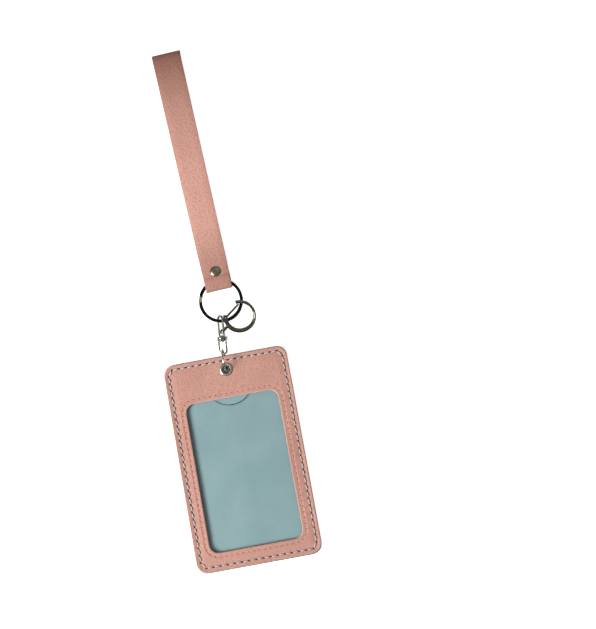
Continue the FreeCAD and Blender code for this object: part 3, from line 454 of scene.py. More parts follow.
FINISHES = (
    (eyelet_plate, "nickel", WIRE_ANGLE, ("eyelet", "eyelet_washer")),
    (nickel, "nickel", WIRE_ANGLE, ("jump_ring", "swivel_lower_loop", "swivel_pin", "swivel_upper_loop")),
    (rivet_plate, "nickel", WIRE_ANGLE, ("rivet_post", "rivet_cap")),
    (gunmetal, "gunmetal", CAST_ANGLE, ("clasp_body", "clasp_gate")),
    (black_nickel, "black_nickel", WIRE_ANGLE, ("split_ring",)),
)
for finish, slot, sharp, nodes in FINISHES:
    for node in nodes:
        print(node, polished(node, finish, sharp), "faces")

# %% [markdown]
# ## Outlines of the sheets
# Most sheets of the wallet are rectangles with round corners. A loop of points round such an outline always
# has the same count on each side and in each corner, so two loops can be bridged point by point. That makes
# a sheet one closed skin with no seams.

# %% Outlines of the sheets
SIDE_STEPS = {"short": 60, "long": 100}
CORNER_STEPS = 16
PANEL_CORNER, WINDOW_CORNER = 6.0 * MM, 5.0 * MM


def outline(left, bottom, right, top, corner):
    """Points round a rectangle with round corners, anticlockwise from the lower left."""
    centres = [(right - corner, bottom + corner), (right - corner, top - corner)]
    centres += [(left + corner, top - corner), (left + corner, bottom + corner)]
    starts = [(left + corner, bottom), (right, bottom + corner), (right - corner, top), (left, top - corner)]
    ends = [(right - corner, bottom), (right, top - corner), (left + corner, top), (left, bottom + corner)]
    points = []
    for side in range(4):
        steps = SIDE_STEPS["long" if side % 2 else "short"]
        start, end = Vector(starts[side]), Vector(ends[side])
        points += [start.lerp(end, i / steps) for i in range(steps)]
        for i in range(CORNER_STEPS):
            angle = math.pi / 2 * (side - 1 + i / CORNER_STEPS)
            points.append(Vector(centres[side]) + corner * Vector((math.cos(angle), math.sin(angle))))
    return points


def inside(point, left, bottom, right, top, corner):
    """How far a point lies inside a rectangle with round corners; negative outside."""
    x = abs(point[0] - (left + right) / 2) - (right - left) / 2 + corner
    y = abs(point[1] - (bottom + top) / 2) - (top - bottom) / 2 + corner
    return corner - math.hypot(max(x, 0), max(y, 0)) - min(max(x, y), 0)


panel_low, panel_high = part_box("front_panel")
PANEL = (panel_low[0], panel_low[1], panel_high[0], panel_high[1], PANEL_CORNER)
film_low, film_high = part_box("window_film")
FILM_MARGIN, FILM_TOP = 5.0 * MM, 8.4 * MM
WINDOW = (
    film_low[0] + FILM_MARGIN, film_low[1] + FILM_MARGIN,
    film_high[0] - FILM_MARGIN, film_high[1] - FILM_TOP, WINDOW_CORNER,
)
print("window", [round(n / MM, 2) for n in WINDOW])

# %% [markdown]
# ## Front panel
# The front panel is one leather sheet with a window. Its edges are rounded by wear. Each sewn row lies at the
# bottom of a valley that the thread has pulled into the leather, so the bands between the rows lean to and fro
# and catch the light in turn. It could be sculpted by hand, but all of it is a height that depends only on the
# distance from the two outlines, so it is worked out point by point. The window's cut wall is painted
# near-black: painted shade for the deep shadow inside the window's edges. The pale core shows at its rim.

# %% Relief of the front panel
EDGE_ROUND, WINDOW_ROUND = 0.5 * MM, 0.7 * MM
ROW_INSET, NEEDLE_ROW = 2.6 * MM, 2.4 * MM
EDGE_VALLEY, EDGE_OUTSIDE, EDGE_INSIDE = 0.34 * MM, 2.1 * MM, 3.3 * MM
NEEDLE_VALLEY, NEEDLE_WINDOW, NEEDLE_OUTSIDE = 0.2 * MM, 2.0 * MM, 0.8 * MM
GROOVE_DEPTH, GROOVE_WIDTH = 0.16 * MM, 0.6 * MM


def bell(distance, centre, width):
    """A soft hump of height 1 round a centre."""
    return math.exp(-(((distance - centre) / width) ** 2))


def rounding(distance, radius):
    """Drop of a rounded edge at a distance from it."""
    reach = max(0.0, radius - max(distance, 0.0))
    return radius - math.sqrt(radius**2 - reach**2)


def valley(distance, row, depth, before, after):
    """Drop of a valley whose sides rise evenly to both sides of a sewn row."""
    side = before if distance < row else after
    return depth * max(0.0, 1 - abs(distance - row) / side)


def panel_drop(point):
    """How far the leather lies below its flat face."""
    from_edge = inside(point, *PANEL)
    from_window = -inside(point, *WINDOW)
    drop = rounding(from_edge, EDGE_ROUND) + rounding(from_window, WINDOW_ROUND)
    drop += valley(from_edge, ROW_INSET, EDGE_VALLEY, EDGE_OUTSIDE, EDGE_INSIDE)
    drop += valley(from_window, NEEDLE_ROW, NEEDLE_VALLEY, NEEDLE_WINDOW, NEEDLE_OUTSIDE)
    return drop + GROOVE_DEPTH * bell(from_edge, ROW_INSET, GROOVE_WIDTH)


deepest = panel_drop((PANEL[0] + ROW_INSET, 0))
print("edge valley", round(deepest / MM, 2), "mm deep")

# %% Front panel
ACROSS_STEPS = 84
EDGE_SHARES, RIM_SHARES = [0.0, 0.006, 0.014, 0.025], [0.97, 0.98, 0.988, 0.994, 1.0]
FACE_FROM, FACE_SPAN = 0.04, 0.92
RIM_CUT = 0.7


def at_height(loop, z):
    """The points of a flat loop, lifted to a height."""
    return [(p.x, p.y, z) for p in loop]


def bands(count, rings, closed=False):
    """Faces between neighbouring rings of points; closed also joins the last ring to the first."""
    faces = []
    for j in range(rings if closed else rings - 1):
        low, high = j * count, (j + 1) % rings * count
        for i in range(count):
            k = (i + 1) % count
            faces.append((low + i, low + k, high + k, high + i))
    return faces


def mark(mesh, name, numbers):
    """Stores one number at each point of a mesh."""
    mesh.attributes.new(name, "FLOAT", "POINT").data.foreach_set("value", numbers)


def face_outwards(mesh):
    """Shades a closed mesh smooth and turns its faces outwards."""
    mesh.shade_smooth()
    turned = bmesh.new()
    turned.from_mesh(mesh)
    bmesh.ops.recalc_face_normals(turned, faces=turned.faces)
    turned.to_mesh(mesh)
    turned.free()


def skin(name, rings, cut_rings, materials):
    """A closed skin through rings of points; cut_rings says which rings lie on a cut edge."""
    count = len(rings[0])
    mesh = bpy.data.meshes.new(name)
    mesh.from_pydata([point for ring in rings for point in ring], [], bands(count, len(rings), closed=True))
    mark(mesh, CUT, [cut for cut in cut_rings for _ in range(count)])
    for material in materials:
        mesh.materials.append(material)
    face_outwards(mesh)
    return add_object(name, mesh)


def made(thing):
    """Prints what a piece holds."""
    low = [min(v.co[i] for v in thing.data.vertices) for i in range(3)]
    high = [max(v.co[i] for v in thing.data.vertices) for i in range(3)]
    sizes = [round((b - a) / MM, 2) for a, b in zip(low, high)]
    print(thing.name, len(thing.data.polygons), "faces", sizes, "mm")


outer_loop, window_loop = outline(*PANEL), outline(*WINDOW)
face_z, front_z = panel_high[2], panel_low[2]
middle_z = front_z + (face_z - front_z) * 0.5
across = EDGE_SHARES + [FACE_FROM + FACE_SPAN * i / ACROSS_STEPS for i in range(ACROSS_STEPS + 1)] + RIM_SHARES
rings, cuts = [at_height(outer_loop, z) for z in (front_z, middle_z)], [1.0, 1.0]
for share in across:
    flat = [a.lerp(b, share) for a, b in zip(outer_loop, window_loop)]
    rings.append([(p.x, p.y, face_z - panel_drop(p)) for p in flat])
    cuts.append(RIM_CUT if share == 0.0 or share in RIM_SHARES[1:] else 0.0)
rings += [at_height(window_loop, z) for z in (middle_z, front_z)]
cuts += [1.0, 1.0]
front_cover = skin("front_cover", rings, cuts, [wallet_leather, painted_shade_wall])
# The window's wall is the last two bands before the one that closes the skin.
window_wall = range((len(rings) - 3) * len(outer_loop), (len(rings) - 1) * len(outer_loop))
# These faces get the near-black wall colour, painted shade for the shadow inside the window's edge.
for index in window_wall:
    front_cover.data.polygons[index].material_index = 1
made(front_cover)

# %% [markdown]
# ## Hole for the eyelet
# The eyelet's barrel goes through the panel and the lining frame. A boolean cut is right here, because the
# hole's rim lies hidden under the eyelet's flange and no clean edge loop is needed.

# %% Hole for the eyelet
barrel_low, barrel_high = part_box("eyelet")
EYELET_CENTRE = Vector(((barrel_low[0] + barrel_high[0]) / 2, (barrel_low[1] + barrel_high[1]) / 2, 0))
EYELET_HOLE = 2.53 * MM
PUNCH_DEPTH, PUNCH_SIDES = 40 * MM, 48


def flatten(thing):
    """Turns what the modifiers made into the piece's own mesh."""
    graph = bpy.context.evaluated_depsgraph_get()
    finished = thing.evaluated_get(graph)
    mesh = bpy.data.meshes.new_from_object(finished, preserve_all_data_layers=True, depsgraph=graph)
    thing.modifiers.clear()
    thing.data = mesh
    mesh.name = thing.name


def punch(thing):
    """Cuts the eyelet's hole through a sheet."""
    cutter_mesh = bpy.data.meshes.new("punch")
    cutter = bmesh.new()
    middle = EYELET_CENTRE + Vector((0, 0, (front_z + face_z) / 2))
    bmesh.ops.create_cone(
        cutter, cap_ends=True, segments=PUNCH_SIDES, radius1=EYELET_HOLE, radius2=EYELET_HOLE,
        depth=PUNCH_DEPTH, matrix=Matrix.Translation(middle),
    )
    cutter.to_mesh(cutter_mesh)
    cutter.free()
    punch_object = add_object("punch", cutter_mesh)
    cut = thing.modifiers.new("punch", "BOOLEAN")
    cut.operation = "DIFFERENCE"
    cut.solver = "EXACT"
    cut.object = punch_object
    flatten(thing)
    bpy.data.objects.remove(punch_object)


punch(front_cover)
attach(front_cover, "wallet")
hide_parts("front_panel")
made(front_cover)

# %% [markdown]
# ## Lining frame, back lining and back panel
# The lining frame is a flat ring round the card. Its edge is painted a darker grey-green: this is painted
# shade, the tone its blue-grey edge shows in shadow. It stands a little proud at the foot, where it shows as a
# thin line below the leather. The two back sheets stop at the card's mouth. They are plain sheets, so each is a
# skin
# through a few loops: a wall, a rounded rim and a flat face.

# %% Lining frame
RIM, GREY_BAND = 0.25 * MM, 0.9 * MM
LEAST_CORNER = 0.2 * MM
FOOT_PROUD = 0.6 * MM
CARD_LAP, CARD_FOOT, CARD_TOP, CARD_CORNER = 2.5 * MM, 7.6 * MM, 1.5 * MM, 1.5 * MM
lining_low, lining_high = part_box("front_lining")
LINING = (lining_low[0], lining_low[1] - FOOT_PROUD, lining_high[0], lining_high[1], PANEL_CORNER)
back_low, back_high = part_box("back_panel")
CARD = (
    WINDOW[0] - CARD_LAP, back_low[1] + CARD_FOOT, WINDOW[2] + CARD_LAP, back_high[1] + CARD_TOP, CARD_CORNER
)


def shrunk(box, by):
    """An outline drawn in on all sides, or let out if by is negative."""
    return (box[0] + by, box[1] + by, box[2] - by, box[3] - by, max(box[4] - by, LEAST_CORNER))


low_z, high_z = lining_low[2], lining_high[2]
LEVELS = (
    # outline, how far it is drawn in, height, share of the painted grey edge
    (LINING, GREY_BAND + RIM, low_z, 0.0), (LINING, RIM, low_z, 1.0), (LINING, 0, low_z + RIM, 1.0),
    (LINING, 0, high_z - RIM, 1.0), (LINING, RIM, high_z, 1.0), (LINING, GREY_BAND, high_z, 1.0),
    (LINING, GREY_BAND + RIM, high_z, 0.0), (CARD, -RIM, high_z, 0.0), (CARD, 0, high_z - RIM, 0.0),
    (CARD, 0, low_z + RIM, 0.0), (CARD, -RIM, low_z, 0.0),
)
rings = [at_height(outline(*shrunk(box, by)), z) for box, by, z, grey_share in LEVELS]
lining_frame = skin("lining_frame", rings, [grey_share for *_, grey_share in LEVELS], [lining_sheet])
punch(lining_frame)
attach(lining_frame, "wallet")
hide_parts("front_lining")
made(lining_frame)

# %% Back lining and back panel
SOFT = RIM * 0.3


def back_outline(by):
    """A back sheet's outline, drawn in by a little: round corners at its foot, square ones at the mouth."""
    left, bottom, right, top = back_low[0] + by, back_low[1] + by, back_high[0] - by, back_high[1] - by
    corner = PANEL_CORNER - by
    points = [Vector((left, top)), Vector((left, bottom + corner))]
    for centre, start in (((left + corner, bottom + corner), 180), ((right - corner, bottom + corner), 270)):
        for i in range(1, CORNER_STEPS + 1):
            angle = math.radians(start + 90 * i / CORNER_STEPS)
            points.append(Vector(centre) + corner * Vector((math.cos(angle), math.sin(angle))))
    return points + [Vector((right, top))]


def capped(name, loops, materials):
    """A piece through loops of points, closed by one face at the bottom and one at the top."""
    count, last = len(loops[0]), len(loops) - 1
    caps = [tuple(range(count))[::-1], tuple(range(count * last, count * (last + 1)))]
    mesh = bpy.data.meshes.new(name)
    mesh.from_pydata([point for loop in loops for point in loop], [], caps + bands(count, len(loops)))
    for material in materials:
        mesh.materials.append(material)
    return add_object(name, mesh)


def back_sheet(name, node, material):
    """A flat sheet with rounded rims and a cut wall."""
    z0, z1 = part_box(node)[0][2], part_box(node)[1][2]
    levels = [(RIM, z0), (SOFT, z0 + SOFT), (0, z0 + RIM), (0, z1 - RIM), (SOFT, z1 - SOFT), (RIM, z1)]
    loops = [at_height(back_outline(by), z) for by, z in levels]
    thing = capped(name, loops, [material])
    mark(thing.data, CUT, [float(by == 0) for by, z in levels for _ in loops[0]])
    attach(thing, "wallet")
    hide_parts(node)
    made(thing)


back_sheet("back_cover", "back_panel", wallet_leather)
back_sheet("back_lining_sheet", "back_lining", lining_sheet)

# %% [markdown]
# ## Clear film
# The film lies behind the window. Its top edge is cut with a round thumb notch, whose cut edge shows as a
# thin dark line. That line is a narrow sloping face of its own, painted dark: a clear sheet's edge looks darker
# than its face because of how light bends in it, and the dark colour is painted shade for that.

# %% Clear film
NOTCH_RADIUS = 12.6 * MM
NOTCH_STEPS = 48
NOTCH_EDGE = 0.32 * MM


def film_outline(by):
    """The film's outline with the notch; by draws the whole cut edge in."""
    left, bottom, right, top = film_low[0] + by, film_low[1] + by, film_high[0] - by, film_high[1] - by
    radius = NOTCH_RADIUS + by
    across_notch = math.sqrt(radius**2 - by**2)
    first = math.atan2(-by, across_notch)
    points = [Vector((left, top)), Vector((left, bottom)), Vector((right, bottom)), Vector((right, top))]
    for i in range(NOTCH_STEPS + 1):
        angle = first - (math.pi + 2 * first) * i / NOTCH_STEPS
        points.append(Vector((0, film_high[1])) + radius * Vector((math.cos(angle), math.sin(angle))))
    return points


film_loops = [at_height(film_outline(0), film_low[2]), at_height(film_outline(NOTCH_EDGE), film_high[2])]
film = capped("film", film_loops, [clear_film, film_edge])
for face in film.data.polygons:
    face.material_index = 1 if len(face.vertices) == 4 else 0
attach(film, "wallet")
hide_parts("window_film")
made(film)

# %% [markdown]
# ## Sewn rows
# The edge is sewn with thick grey thread: dark needle holes about 4 mm apart, and a stitch that rises from
# one hole and dips into the next. Each corner is turned with one slanting stitch. A row could be placed one
# stitch at a time, but a node tree does it better: the route is a mesh whose points are the holes, and the tree
# sets a dark plug at the start of each edge and a stitch along it. The plug is painted shade for the needle
# hole and the shadow beside it.

# %% Route of the edge row
PITCH = 4.0 * MM
TOP_INSET, LEFT_INSET, RIGHT_INSET, FOOT_INSET = 2.65 * MM, 2.75 * MM, 2.6 * MM, 2.75 * MM
TURN_ACROSS, TURN_ALONG = 2.4 * MM, 3.4 * MM


def edge_route():
    """The holes of the edge row, anticlockwise, with a slanting stitch at each corner."""
    left, right = PANEL[0] + LEFT_INSET, PANEL[2] - RIGHT_INSET
    bottom, top = PANEL[1] + FOOT_INSET, PANEL[3] - TOP_INSET
    turns = [
        (left + TURN_ACROSS, bottom), (right - TURN_ACROSS, bottom), (right, bottom + TURN_ALONG),
        (right, top - TURN_ALONG), (right - TURN_ACROSS, top), (left + TURN_ACROSS, top),
        (left, top - TURN_ALONG), (left, bottom + TURN_ALONG),
    ]
    holes = []
    for i, start in enumerate(turns):
        start, end = Vector(start), Vector(turns[(i + 1) % len(turns)])
        steps = max(1, round((end - start).length / PITCH))
        holes += [start.lerp(end, k / steps) for k in range(steps)]
    return holes


edge_holes = edge_route()
print("edge row", len(edge_holes), "holes")

# %% Node trees for stitches and holes
# A stitch lies along X, in shares of the step between two holes.
STITCH_START, STITCH_END, START_HANDLE, END_HANDLE = -0.32, 0.36, -0.30, 0.26
STITCH_STEPS, THREAD_SIDES, TWISTS = 10, 8, 5.0
HOLE_SIDES, HOLE_TOP = 12, 0.8


def capture(tree, geometry, domain, kind, name, source):
    """Keeps a field's values on a geometry, and gives back both."""
    keep = add_node(tree, "GeometryNodeCaptureAttribute", domain=domain)
    keep.capture_items.new(kind, name)
    set_node(tree, keep, Geometry=geometry, **{name: source})
    return keep.outputs["Geometry"], keep.outputs[name]


def along_each_edge(tree, start, piece):
    """Pieces at the middle of each edge, with X along the edge and one unit stretched to its length."""
    ends = add_node(tree, "GeometryNodeInputMeshEdgeVertices").outputs
    along = calculate(
        tree, "SUBTRACT", ends["Position 2"], ends["Position 1"], kind="ShaderNodeVectorMath", result="Vector"
    )
    route, along = capture(tree, start.outputs["Route"], "EDGE", "VECTOR", "Along", along)
    points = add_node(tree, "GeometryNodeMeshToPoints", mode="EDGES", Mesh=route)
    parts = add_node(tree, "ShaderNodeSeparateXYZ", Vector=along).outputs
    heading = calculate(tree, "ARCTAN2", parts["Y"], parts["X"])
    slanted = calculate(tree, "ADD", heading, start.outputs["Slant"])
    turn = add_node(tree, "FunctionNodeAxisAngleToRotation", Axis=(0, 0, 1), Angle=slanted)
    length = calculate(tree, "LENGTH", along, kind="ShaderNodeVectorMath")
    stretch = add_node(tree, "ShaderNodeCombineXYZ", X=length, Y=1.0, Z=1.0)
    return add_node(
        tree, "GeometryNodeInstanceOnPoints", Points=points.outputs[0], Instance=piece,
        Rotation=turn.outputs[0], Scale=stretch.outputs[0],
    ).outputs[0]


def sewing_tree(name, inputs, piece_nodes):
    """A node tree that sets one piece on each edge of a route, turned and stretched along it."""
    tree = bpy.data.node_groups.new(name, "GeometryNodeTree")
    tree.interface.new_socket("Route", in_out="INPUT", socket_type="NodeSocketGeometry")
    for label in inputs:
        tree.interface.new_socket(label, in_out="INPUT", socket_type="NodeSocketFloat")
    tree.interface.new_socket("Finish", in_out="INPUT", socket_type="NodeSocketMaterial")
    tree.interface.new_socket("Geometry", in_out="OUTPUT", socket_type="NodeSocketGeometry")
    start, end = tree.nodes.new("NodeGroupInput"), tree.nodes.new("NodeGroupOutput")
    radius = calculate(tree, "MULTIPLY", start.outputs["Width"], 0.5)
    row = along_each_edge(tree, start, piece_nodes(tree, start, radius))
    real = add_node(tree, "GeometryNodeRealizeInstances", Geometry=row)
    smooth = add_node(tree, "GeometryNodeSetShadeSmooth", Geometry=real.outputs[0])
    finish = add_node(
        tree, "GeometryNodeSetMaterial", Geometry=smooth.outputs[0], Material=start.outputs["Finish"]
    )
    set_node(tree, end, Geometry=finish.outputs[0])
    return tree


def stitch_nodes(tree, start, radius):
    """One arched stitch, with its thread's winding stored."""
    rise = start.outputs["Rise"]
    lift = add_node(tree, "ShaderNodeCombineXYZ", X=START_HANDLE, Z=rise)
    lift_end = add_node(tree, "ShaderNodeCombineXYZ", X=END_HANDLE, Z=rise)
    arch = add_node(
        tree, "GeometryNodeCurvePrimitiveBezierSegment", Resolution=STITCH_STEPS, Start=(STITCH_START, 0, 0),
        End=(STITCH_END, 0, 0), Start_Handle=lift.outputs[0], End_Handle=lift_end.outputs[0],
    )
    section = add_node(tree, "GeometryNodeCurvePrimitiveCircle", Resolution=THREAD_SIDES, Radius=radius)
    share = add_node(tree, "GeometryNodeSplineParameter").outputs["Factor"]
    curve, far = capture(tree, arch.outputs[0], "POINT", "FLOAT", "Far", share)
    profile, around = capture(tree, section.outputs[0], "POINT", "FLOAT", "Around", share)
    shape = add_node(tree, "GeometryNodeCurveToMesh", Curve=curve, Profile_Curve=profile, Fill_Caps=True)
    turns = calculate(tree, "MULTIPLY_ADD", far, TWISTS, around)
    return add_node(
        tree, "GeometryNodeStoreNamedAttribute", data_type="FLOAT", domain="POINT", Geometry=shape.outputs[0],
        Name=TWIST, Value=calculate(tree, "MULTIPLY", turns, 2 * math.pi),
    ).outputs[0]


def hole_nodes(tree, start, radius):
    """One shallow oval plug at the start of the step, which stands for a needle hole and its shadow."""
    plug = add_node(
        tree, "GeometryNodeMeshCone", Vertices=HOLE_SIDES, Radius_Bottom=1.0, Radius_Top=HOLE_TOP,
        Depth=start.outputs["Rise"],
    )
    half_length = calculate(tree, "MULTIPLY", start.outputs["Share"], 0.5)
    oval = add_node(tree, "ShaderNodeCombineXYZ", X=half_length, Y=radius, Z=1.0)
    return add_node(
        tree, "GeometryNodeTransform", Geometry=plug.outputs["Mesh"], Translation=(-0.5, 0, 0),
        Scale=oval.outputs[0],
    ).outputs[0]


stitch_tree = sewing_tree("stitch_on_each_edge", ("Width", "Rise", "Slant"), stitch_nodes)
hole_tree = sewing_tree("hole_on_each_edge", ("Width", "Rise", "Slant", "Share"), hole_nodes)
print("trees", stitch_tree.name, hole_tree.name)

# %% Sew the edge row
THREAD_SINK, STITCH_RISE, HOLE_RISE = 0.12 * MM, 0.85 * MM, 0.2 * MM
SLANT = math.radians(6)
STITCHES = {"Width": 0.8 * MM, "Slant": SLANT, "Finish": thread}
HOLES = {"Width": 0.85 * MM, "Slant": SLANT, "Share": 0.44, "Finish": hole_shade}


def sew(name, tree, holes, closed, **inputs):
    """Runs a sewing tree along a route and keeps the result as a plain mesh on the wallet."""
    route = bpy.data.meshes.new(name)
    last = len(holes) if closed else len(holes) - 1
    route.from_pydata(holes, [(i, (i + 1) % len(holes)) for i in range(last)], [])
    thing = add_object(name, route)
    row = thing.modifiers.new("sewing", "NODES")
    row.node_group = tree
    for socket in tree.interface.items_tree:
        if socket.in_out == "INPUT" and socket.name in inputs:
            row[socket.identifier] = inputs[socket.name]
    flatten(thing)
    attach(thing, "wallet")
    made(thing)
    return thing


def on_leather(points, sink=0):
    """The places of holes on the front panel's grooved face."""
    return [(p.x, p.y, face_z - panel_drop(p) - sink) for p in points]


sew("front_holes", hole_tree, on_leather(edge_holes), True, Rise=HOLE_RISE, **HOLES)
sew("front_thread", stitch_tree, on_leather(edge_holes, THREAD_SINK), True, Rise=STITCH_RISE, **STITCHES)

# %% [markdown]
# ## Needle row round the window
# The film is held by a finer row, whose thread has the leather's own colour. Only its holes show, as a line of
# dark dots about 3 mm apart: painted shade for the holes.

# %% Needle row round the window
NEEDLE_PITCH = 3.1 * MM
NEEDLES = {"Width": 0.62 * MM, "Slant": 0.0, "Share": 0.21, "Finish": needle_shade}


def even_points(loop, pitch):
    """Points at even steps along a closed loop."""
    lengths = [(loop[(i + 1) % len(loop)] - p).length for i, p in enumerate(loop)]
    count = round(sum(lengths) / pitch)
    step = sum(lengths) / count
    points, walked, target = [], 0.0, 0.0
    for i, p in enumerate(loop):
        while target < walked + lengths[i] and len(points) < count:
            points.append(p.lerp(loop[(i + 1) % len(loop)], (target - walked) / lengths[i]))
            target += step
        walked += lengths[i]
    return points


needle_points = even_points(outline(*shrunk(WINDOW, -NEEDLE_ROW)), NEEDLE_PITCH)
sew("window_needle_holes", hole_tree, on_leather(needle_points), True, Rise=HOLE_RISE, **NEEDLES)

# %% [markdown]
# ## Thread on the back
# The same row comes out on the back. Below the card's mouth it lies on the back panel. Above it, it lies on
# the lining frame. The routes are turned over, so that the stitches arch away from the wallet.

# %% Thread on the back
BACK_SINK, BACK_RISE, BACK_HOLE_RISE = 0.45 * MM, 0.2 * MM, 0.03 * MM
MOUTH_CLEAR = 1 * MM
mouth_y = back_high[1]


def turn_over(thing):
    """Mirrors a sewn row to face the back."""
    for vertex in thing.data.vertices:
        vertex.co.z = -vertex.co.z
    thing.data.flip_normals()


def back_row(name, holes, level):
    """A flat row on a back sheet, pressed in so far that the wallet still lies flat."""
    flat = [(p.x, p.y, -level) for p in holes]
    turn_over(sew(f"{name}_holes", hole_tree, flat, False, Rise=BACK_HOLE_RISE, **HOLES))
    flat = [(p.x, p.y, -level - BACK_SINK) for p in holes]
    turn_over(sew(f"{name}_thread", stitch_tree, flat, False, Rise=BACK_RISE, **STITCHES))


first_low = next(i for i, p in enumerate(edge_holes) if p.y < mouth_y and edge_holes[i - 1].y >= mouth_y)
in_turn = edge_holes[first_low:] + edge_holes[:first_low]
back_row("back", [p for p in in_turn if p.y < mouth_y - MOUTH_CLEAR], back_low[2])
back_row("rail_back", [p for p in in_turn if p.y > mouth_y + MOUTH_CLEAR], lining_low[2])

# %% [markdown]
# ## Wrist strap
# The strap is one band of leather. It starts under the rivet, goes round the split ring, runs to the far bend
# and back, and ends between its own layers. A cloth simulation could fold it, but stiff leather keeps its
# bends, so a section with soft edges is carried along a line instead, and the line gives the strap's length. It
# follows the corners of the solid strap, each bent round. The lower run lies a little to the left of the upper
# one.

# %% Run of the strap
strap_across = Vector(joints["strap_flap"]["axis"])
strap_along = Vector((0, 0, 1)).cross(strap_across)
FLAP_REACH = 9.85 * MM
strap_start = Vector(joints["strap_flap"]["pos_m"]) - FLAP_REACH * strap_along
# The strap's middle line, in mm along the strap from the ring's centre and up from the ring's middle.
TAIL_END, SLOPE, RING_EDGE, FOLD, FAR_BEND = 22.1, 13.6, 12.4, 6.46, 145.8
LAYER, POCKET, LOOP_TOP, LOOP_FLOOR, LOOP_BEND = 1.05, 1.9, 5.25, -2.75, 3.84
FOLD_BEND, SOFT_BEND, TOP_SLOPE, TOP_BEND = 1.0, 2.2, 14.2, 3.5
LIFT_OFF, RISE_ALONG, RISE_UP, TOUCH_DOWN, TAIL_GAP = 20.97, 59.67, 3.57, 29.1, 0.5
LIFT_BEND, RISE_BEND, FLOOR_BEND, TAIL_BEND = 30, 60, 10, 3
STRAP_RUN = [
    # along, up and bend radius of each corner
    (TAIL_END, -LAYER, 0), (SLOPE, -LAYER, SOFT_BEND), (RING_EDGE, -POCKET, SOFT_BEND),
    (FOLD, -POCKET, FOLD_BEND), (FOLD, POCKET, FOLD_BEND), (RING_EDGE, POCKET, TOP_BEND),
    (TOP_SLOPE, LAYER, TOP_BEND), (LIFT_OFF, LAYER, LIFT_BEND), (RISE_ALONG, RISE_UP, RISE_BEND),
    (FAR_BEND, LOOP_TOP, LOOP_BEND), (FAR_BEND, LOOP_FLOOR, LOOP_BEND),
    (TOUCH_DOWN, LOOP_FLOOR, FLOOR_BEND), (TAIL_END + TAIL_GAP, 0, TAIL_BEND), (SLOPE, 0, 0),
]
BEND_STEP = math.radians(9)
RUN_STEP = 1.2


def straight(start, end):
    """Even steps along a straight run, without its start."""
    steps = max(1, math.ceil((end - start).length / RUN_STEP))
    return [start.lerp(end, k / steps) for k in range(1, steps + 1)]


def bent_run(corners):
    """Points along straight runs and round bends, in mm."""
    points = [Vector(corners[0][:2])]
    for i in range(1, len(corners) - 1):
        before, here, after = (Vector(corners[k][:2]) for k in (i - 1, i, i + 1))
        into, out = (here - before).normalized(), (after - here).normalized()
        turn = into.angle_signed(out)
        reach = corners[i][2] * math.tan(abs(turn) / 2)
        steps = max(2, math.ceil(abs(turn) / BEND_STEP))
        start = here - into * reach
        points += straight(points[-1], start)
        side = Vector((into.y, -into.x)) * math.copysign(1, turn)
        centre = start + side * corners[i][2]
        for k in range(1, steps + 1):
            arm = start - centre
            arm.rotate(Matrix.Rotation(-turn * k / steps, 2))
            points.append(centre + arm)
    return points + straight(points[-1], Vector(corners[-1][:2]))


run = bent_run(STRAP_RUN)
far_station = max(range(len(run)), key=lambda i: run[i].x)
walked = [0.0]
for a, b in zip(run, run[1:]):
    walked.append(walked[-1] + (b - a).length)

# %% Section of the strap
FOLD_WIDTH, WAIST_WIDTH, STRAP_WIDTH = 14.7 * MM, 15.5 * MM, 16.5 * MM
STRAP_THICK, STRAP_EDGE = 1.0 * MM, 0.3 * MM
EDGE_TURNS = math.radians(30), math.radians(60)
# The widths at both ends hold this far past the bends of the middle line, in mm.
PAST_MIDDLE = 1
TAIL, TAIL_TIP = WAIST_WIDTH / 2, 1.2 * MM
TUCK = 0.5 * MM
NEAR_BROWN, NEAR_REACH, FAR_FROM, FAR_POWER = 0.42, 38, 60, 2.5


def strap_section(half_width):
    """Points round the strap's section, sideways and outwards, with the share of cut edge at each."""
    half = STRAP_THICK / 2
    inner, level = half_width - STRAP_EDGE, half - STRAP_EDGE
    flat = [inner, half_width * 0.5, 0.0, -half_width * 0.5, -inner]
    side = [(inner + STRAP_EDGE * math.sin(a), level + STRAP_EDGE * math.cos(a)) for a in EDGE_TURNS]
    right = side + [(half_width, level), (half_width, -level)] + [(x, -z) for x, z in reversed(side)]
    left = [(-x, -z) for x, z in right]
    top = [(x, half) for x in reversed(flat)]
    bottom = [(x, -half) for x in flat]
    wall = [0.0] * len(side) + [1.0, 1.0] + [0.0] * len(side)
    return top + right + bottom + left, [0.0] * len(top) + wall + [0.0] * len(bottom) + wall


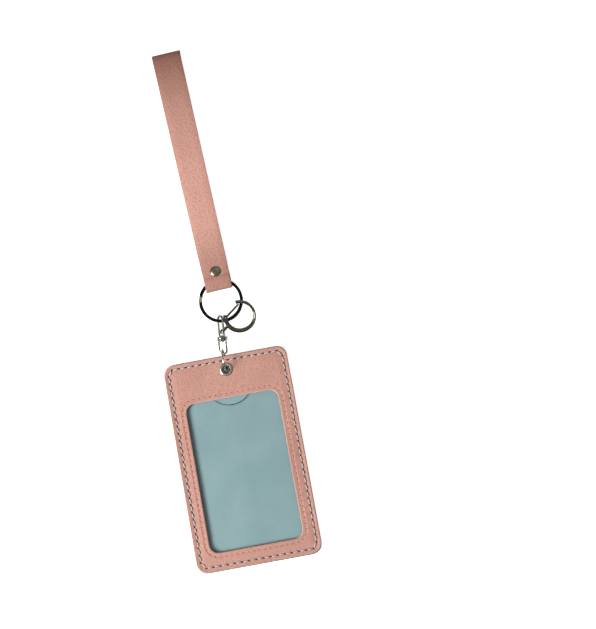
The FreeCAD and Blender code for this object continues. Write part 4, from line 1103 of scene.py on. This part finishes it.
def half_width_at(station):
    """Half the strap's width: narrow at the fold, widest at the far bend, and round at the tail's end."""
    along, from_tail = run[station].x, walked[station] * MM
    if along < TAIL_END:
        narrow, wide = FOLD_WIDTH, WAIST_WIDTH
        share = (along - FOLD + PAST_MIDDLE) / (TAIL_END - FOLD + PAST_MIDDLE)
    else:
        narrow, wide = WAIST_WIDTH, STRAP_WIDTH
        share = (along - TAIL_END) / (FAR_BEND + PAST_MIDDLE - TAIL_END)
    half_width = (narrow + (wide - narrow) * share) / 2
    if from_tail < TAIL:
        half_width = min(half_width, max(TAIL_TIP, math.sqrt(TAIL**2 - (TAIL - from_tail) ** 2)))
    return half_width


def tuck(station):
    """How far the lower run lies to the left of the upper one."""
    if station < far_station:
        return 0.0
    return TUCK * min(max((LAYER - run[station].y) / (LAYER - LOOP_FLOOR), 0.0), 1.0)


def ease(share):
    """A share from 0 to 1, with soft ends."""
    share = min(max(share, 0.0), 1.0)
    return share * share * (3 - 2 * share)


def browning(along):
    """How much browner the strap is painted: at the fold, and more and more towards the far bend. It is partly
    wear from handling and partly painted shade, where the light falls off towards the strap's ends and the far
    bend turns away.
    """
    near = NEAR_BROWN * (1 - ease((along - RING_EDGE) / NEAR_REACH))
    far = max(0.0, (along - FAR_FROM) / (FAR_BEND - FAR_FROM)) ** FAR_POWER
    return near + far


print("strap section", len(strap_section(TAIL)[0]), "points")

# %% Strap
vertices, cut_shares, wear_and_shade_shares = [], [], []
for i, point in enumerate(run):
    ahead = (run[min(i + 1, len(run) - 1)] - run[max(i - 1, 0)]).normalized()
    outwards = Vector((-ahead.y, ahead.x))
    section, cut = strap_section(half_width_at(i))
    for sideways, out in section:
        local = point * MM + outwards * out
        across_here = strap_across * (sideways - tuck(i))
        vertices.append(strap_start + across_here + strap_along * local.x + Vector((0, 0, local.y)))
    cut_shares += cut
    wear_and_shade_shares += [browning(point.x)] * len(section)
count = len(section)
faces = bands(count, len(run))
faces += [tuple(range(count)), tuple(range((len(run) - 1) * count, len(run) * count))[::-1]]
strap_mesh = bpy.data.meshes.new("strap_band")
strap_mesh.from_pydata(vertices, [], faces)
mark(strap_mesh, CUT, cut_shares)
mark(strap_mesh, WEAR_AND_SHADE, wear_and_shade_shares)
strap_mesh.materials.append(strap_leather)
face_outwards(strap_mesh)
strap_band = add_object("strap_band", strap_mesh)
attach(strap_band, "strap")
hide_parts("wrist_strap")
made(strap_band)
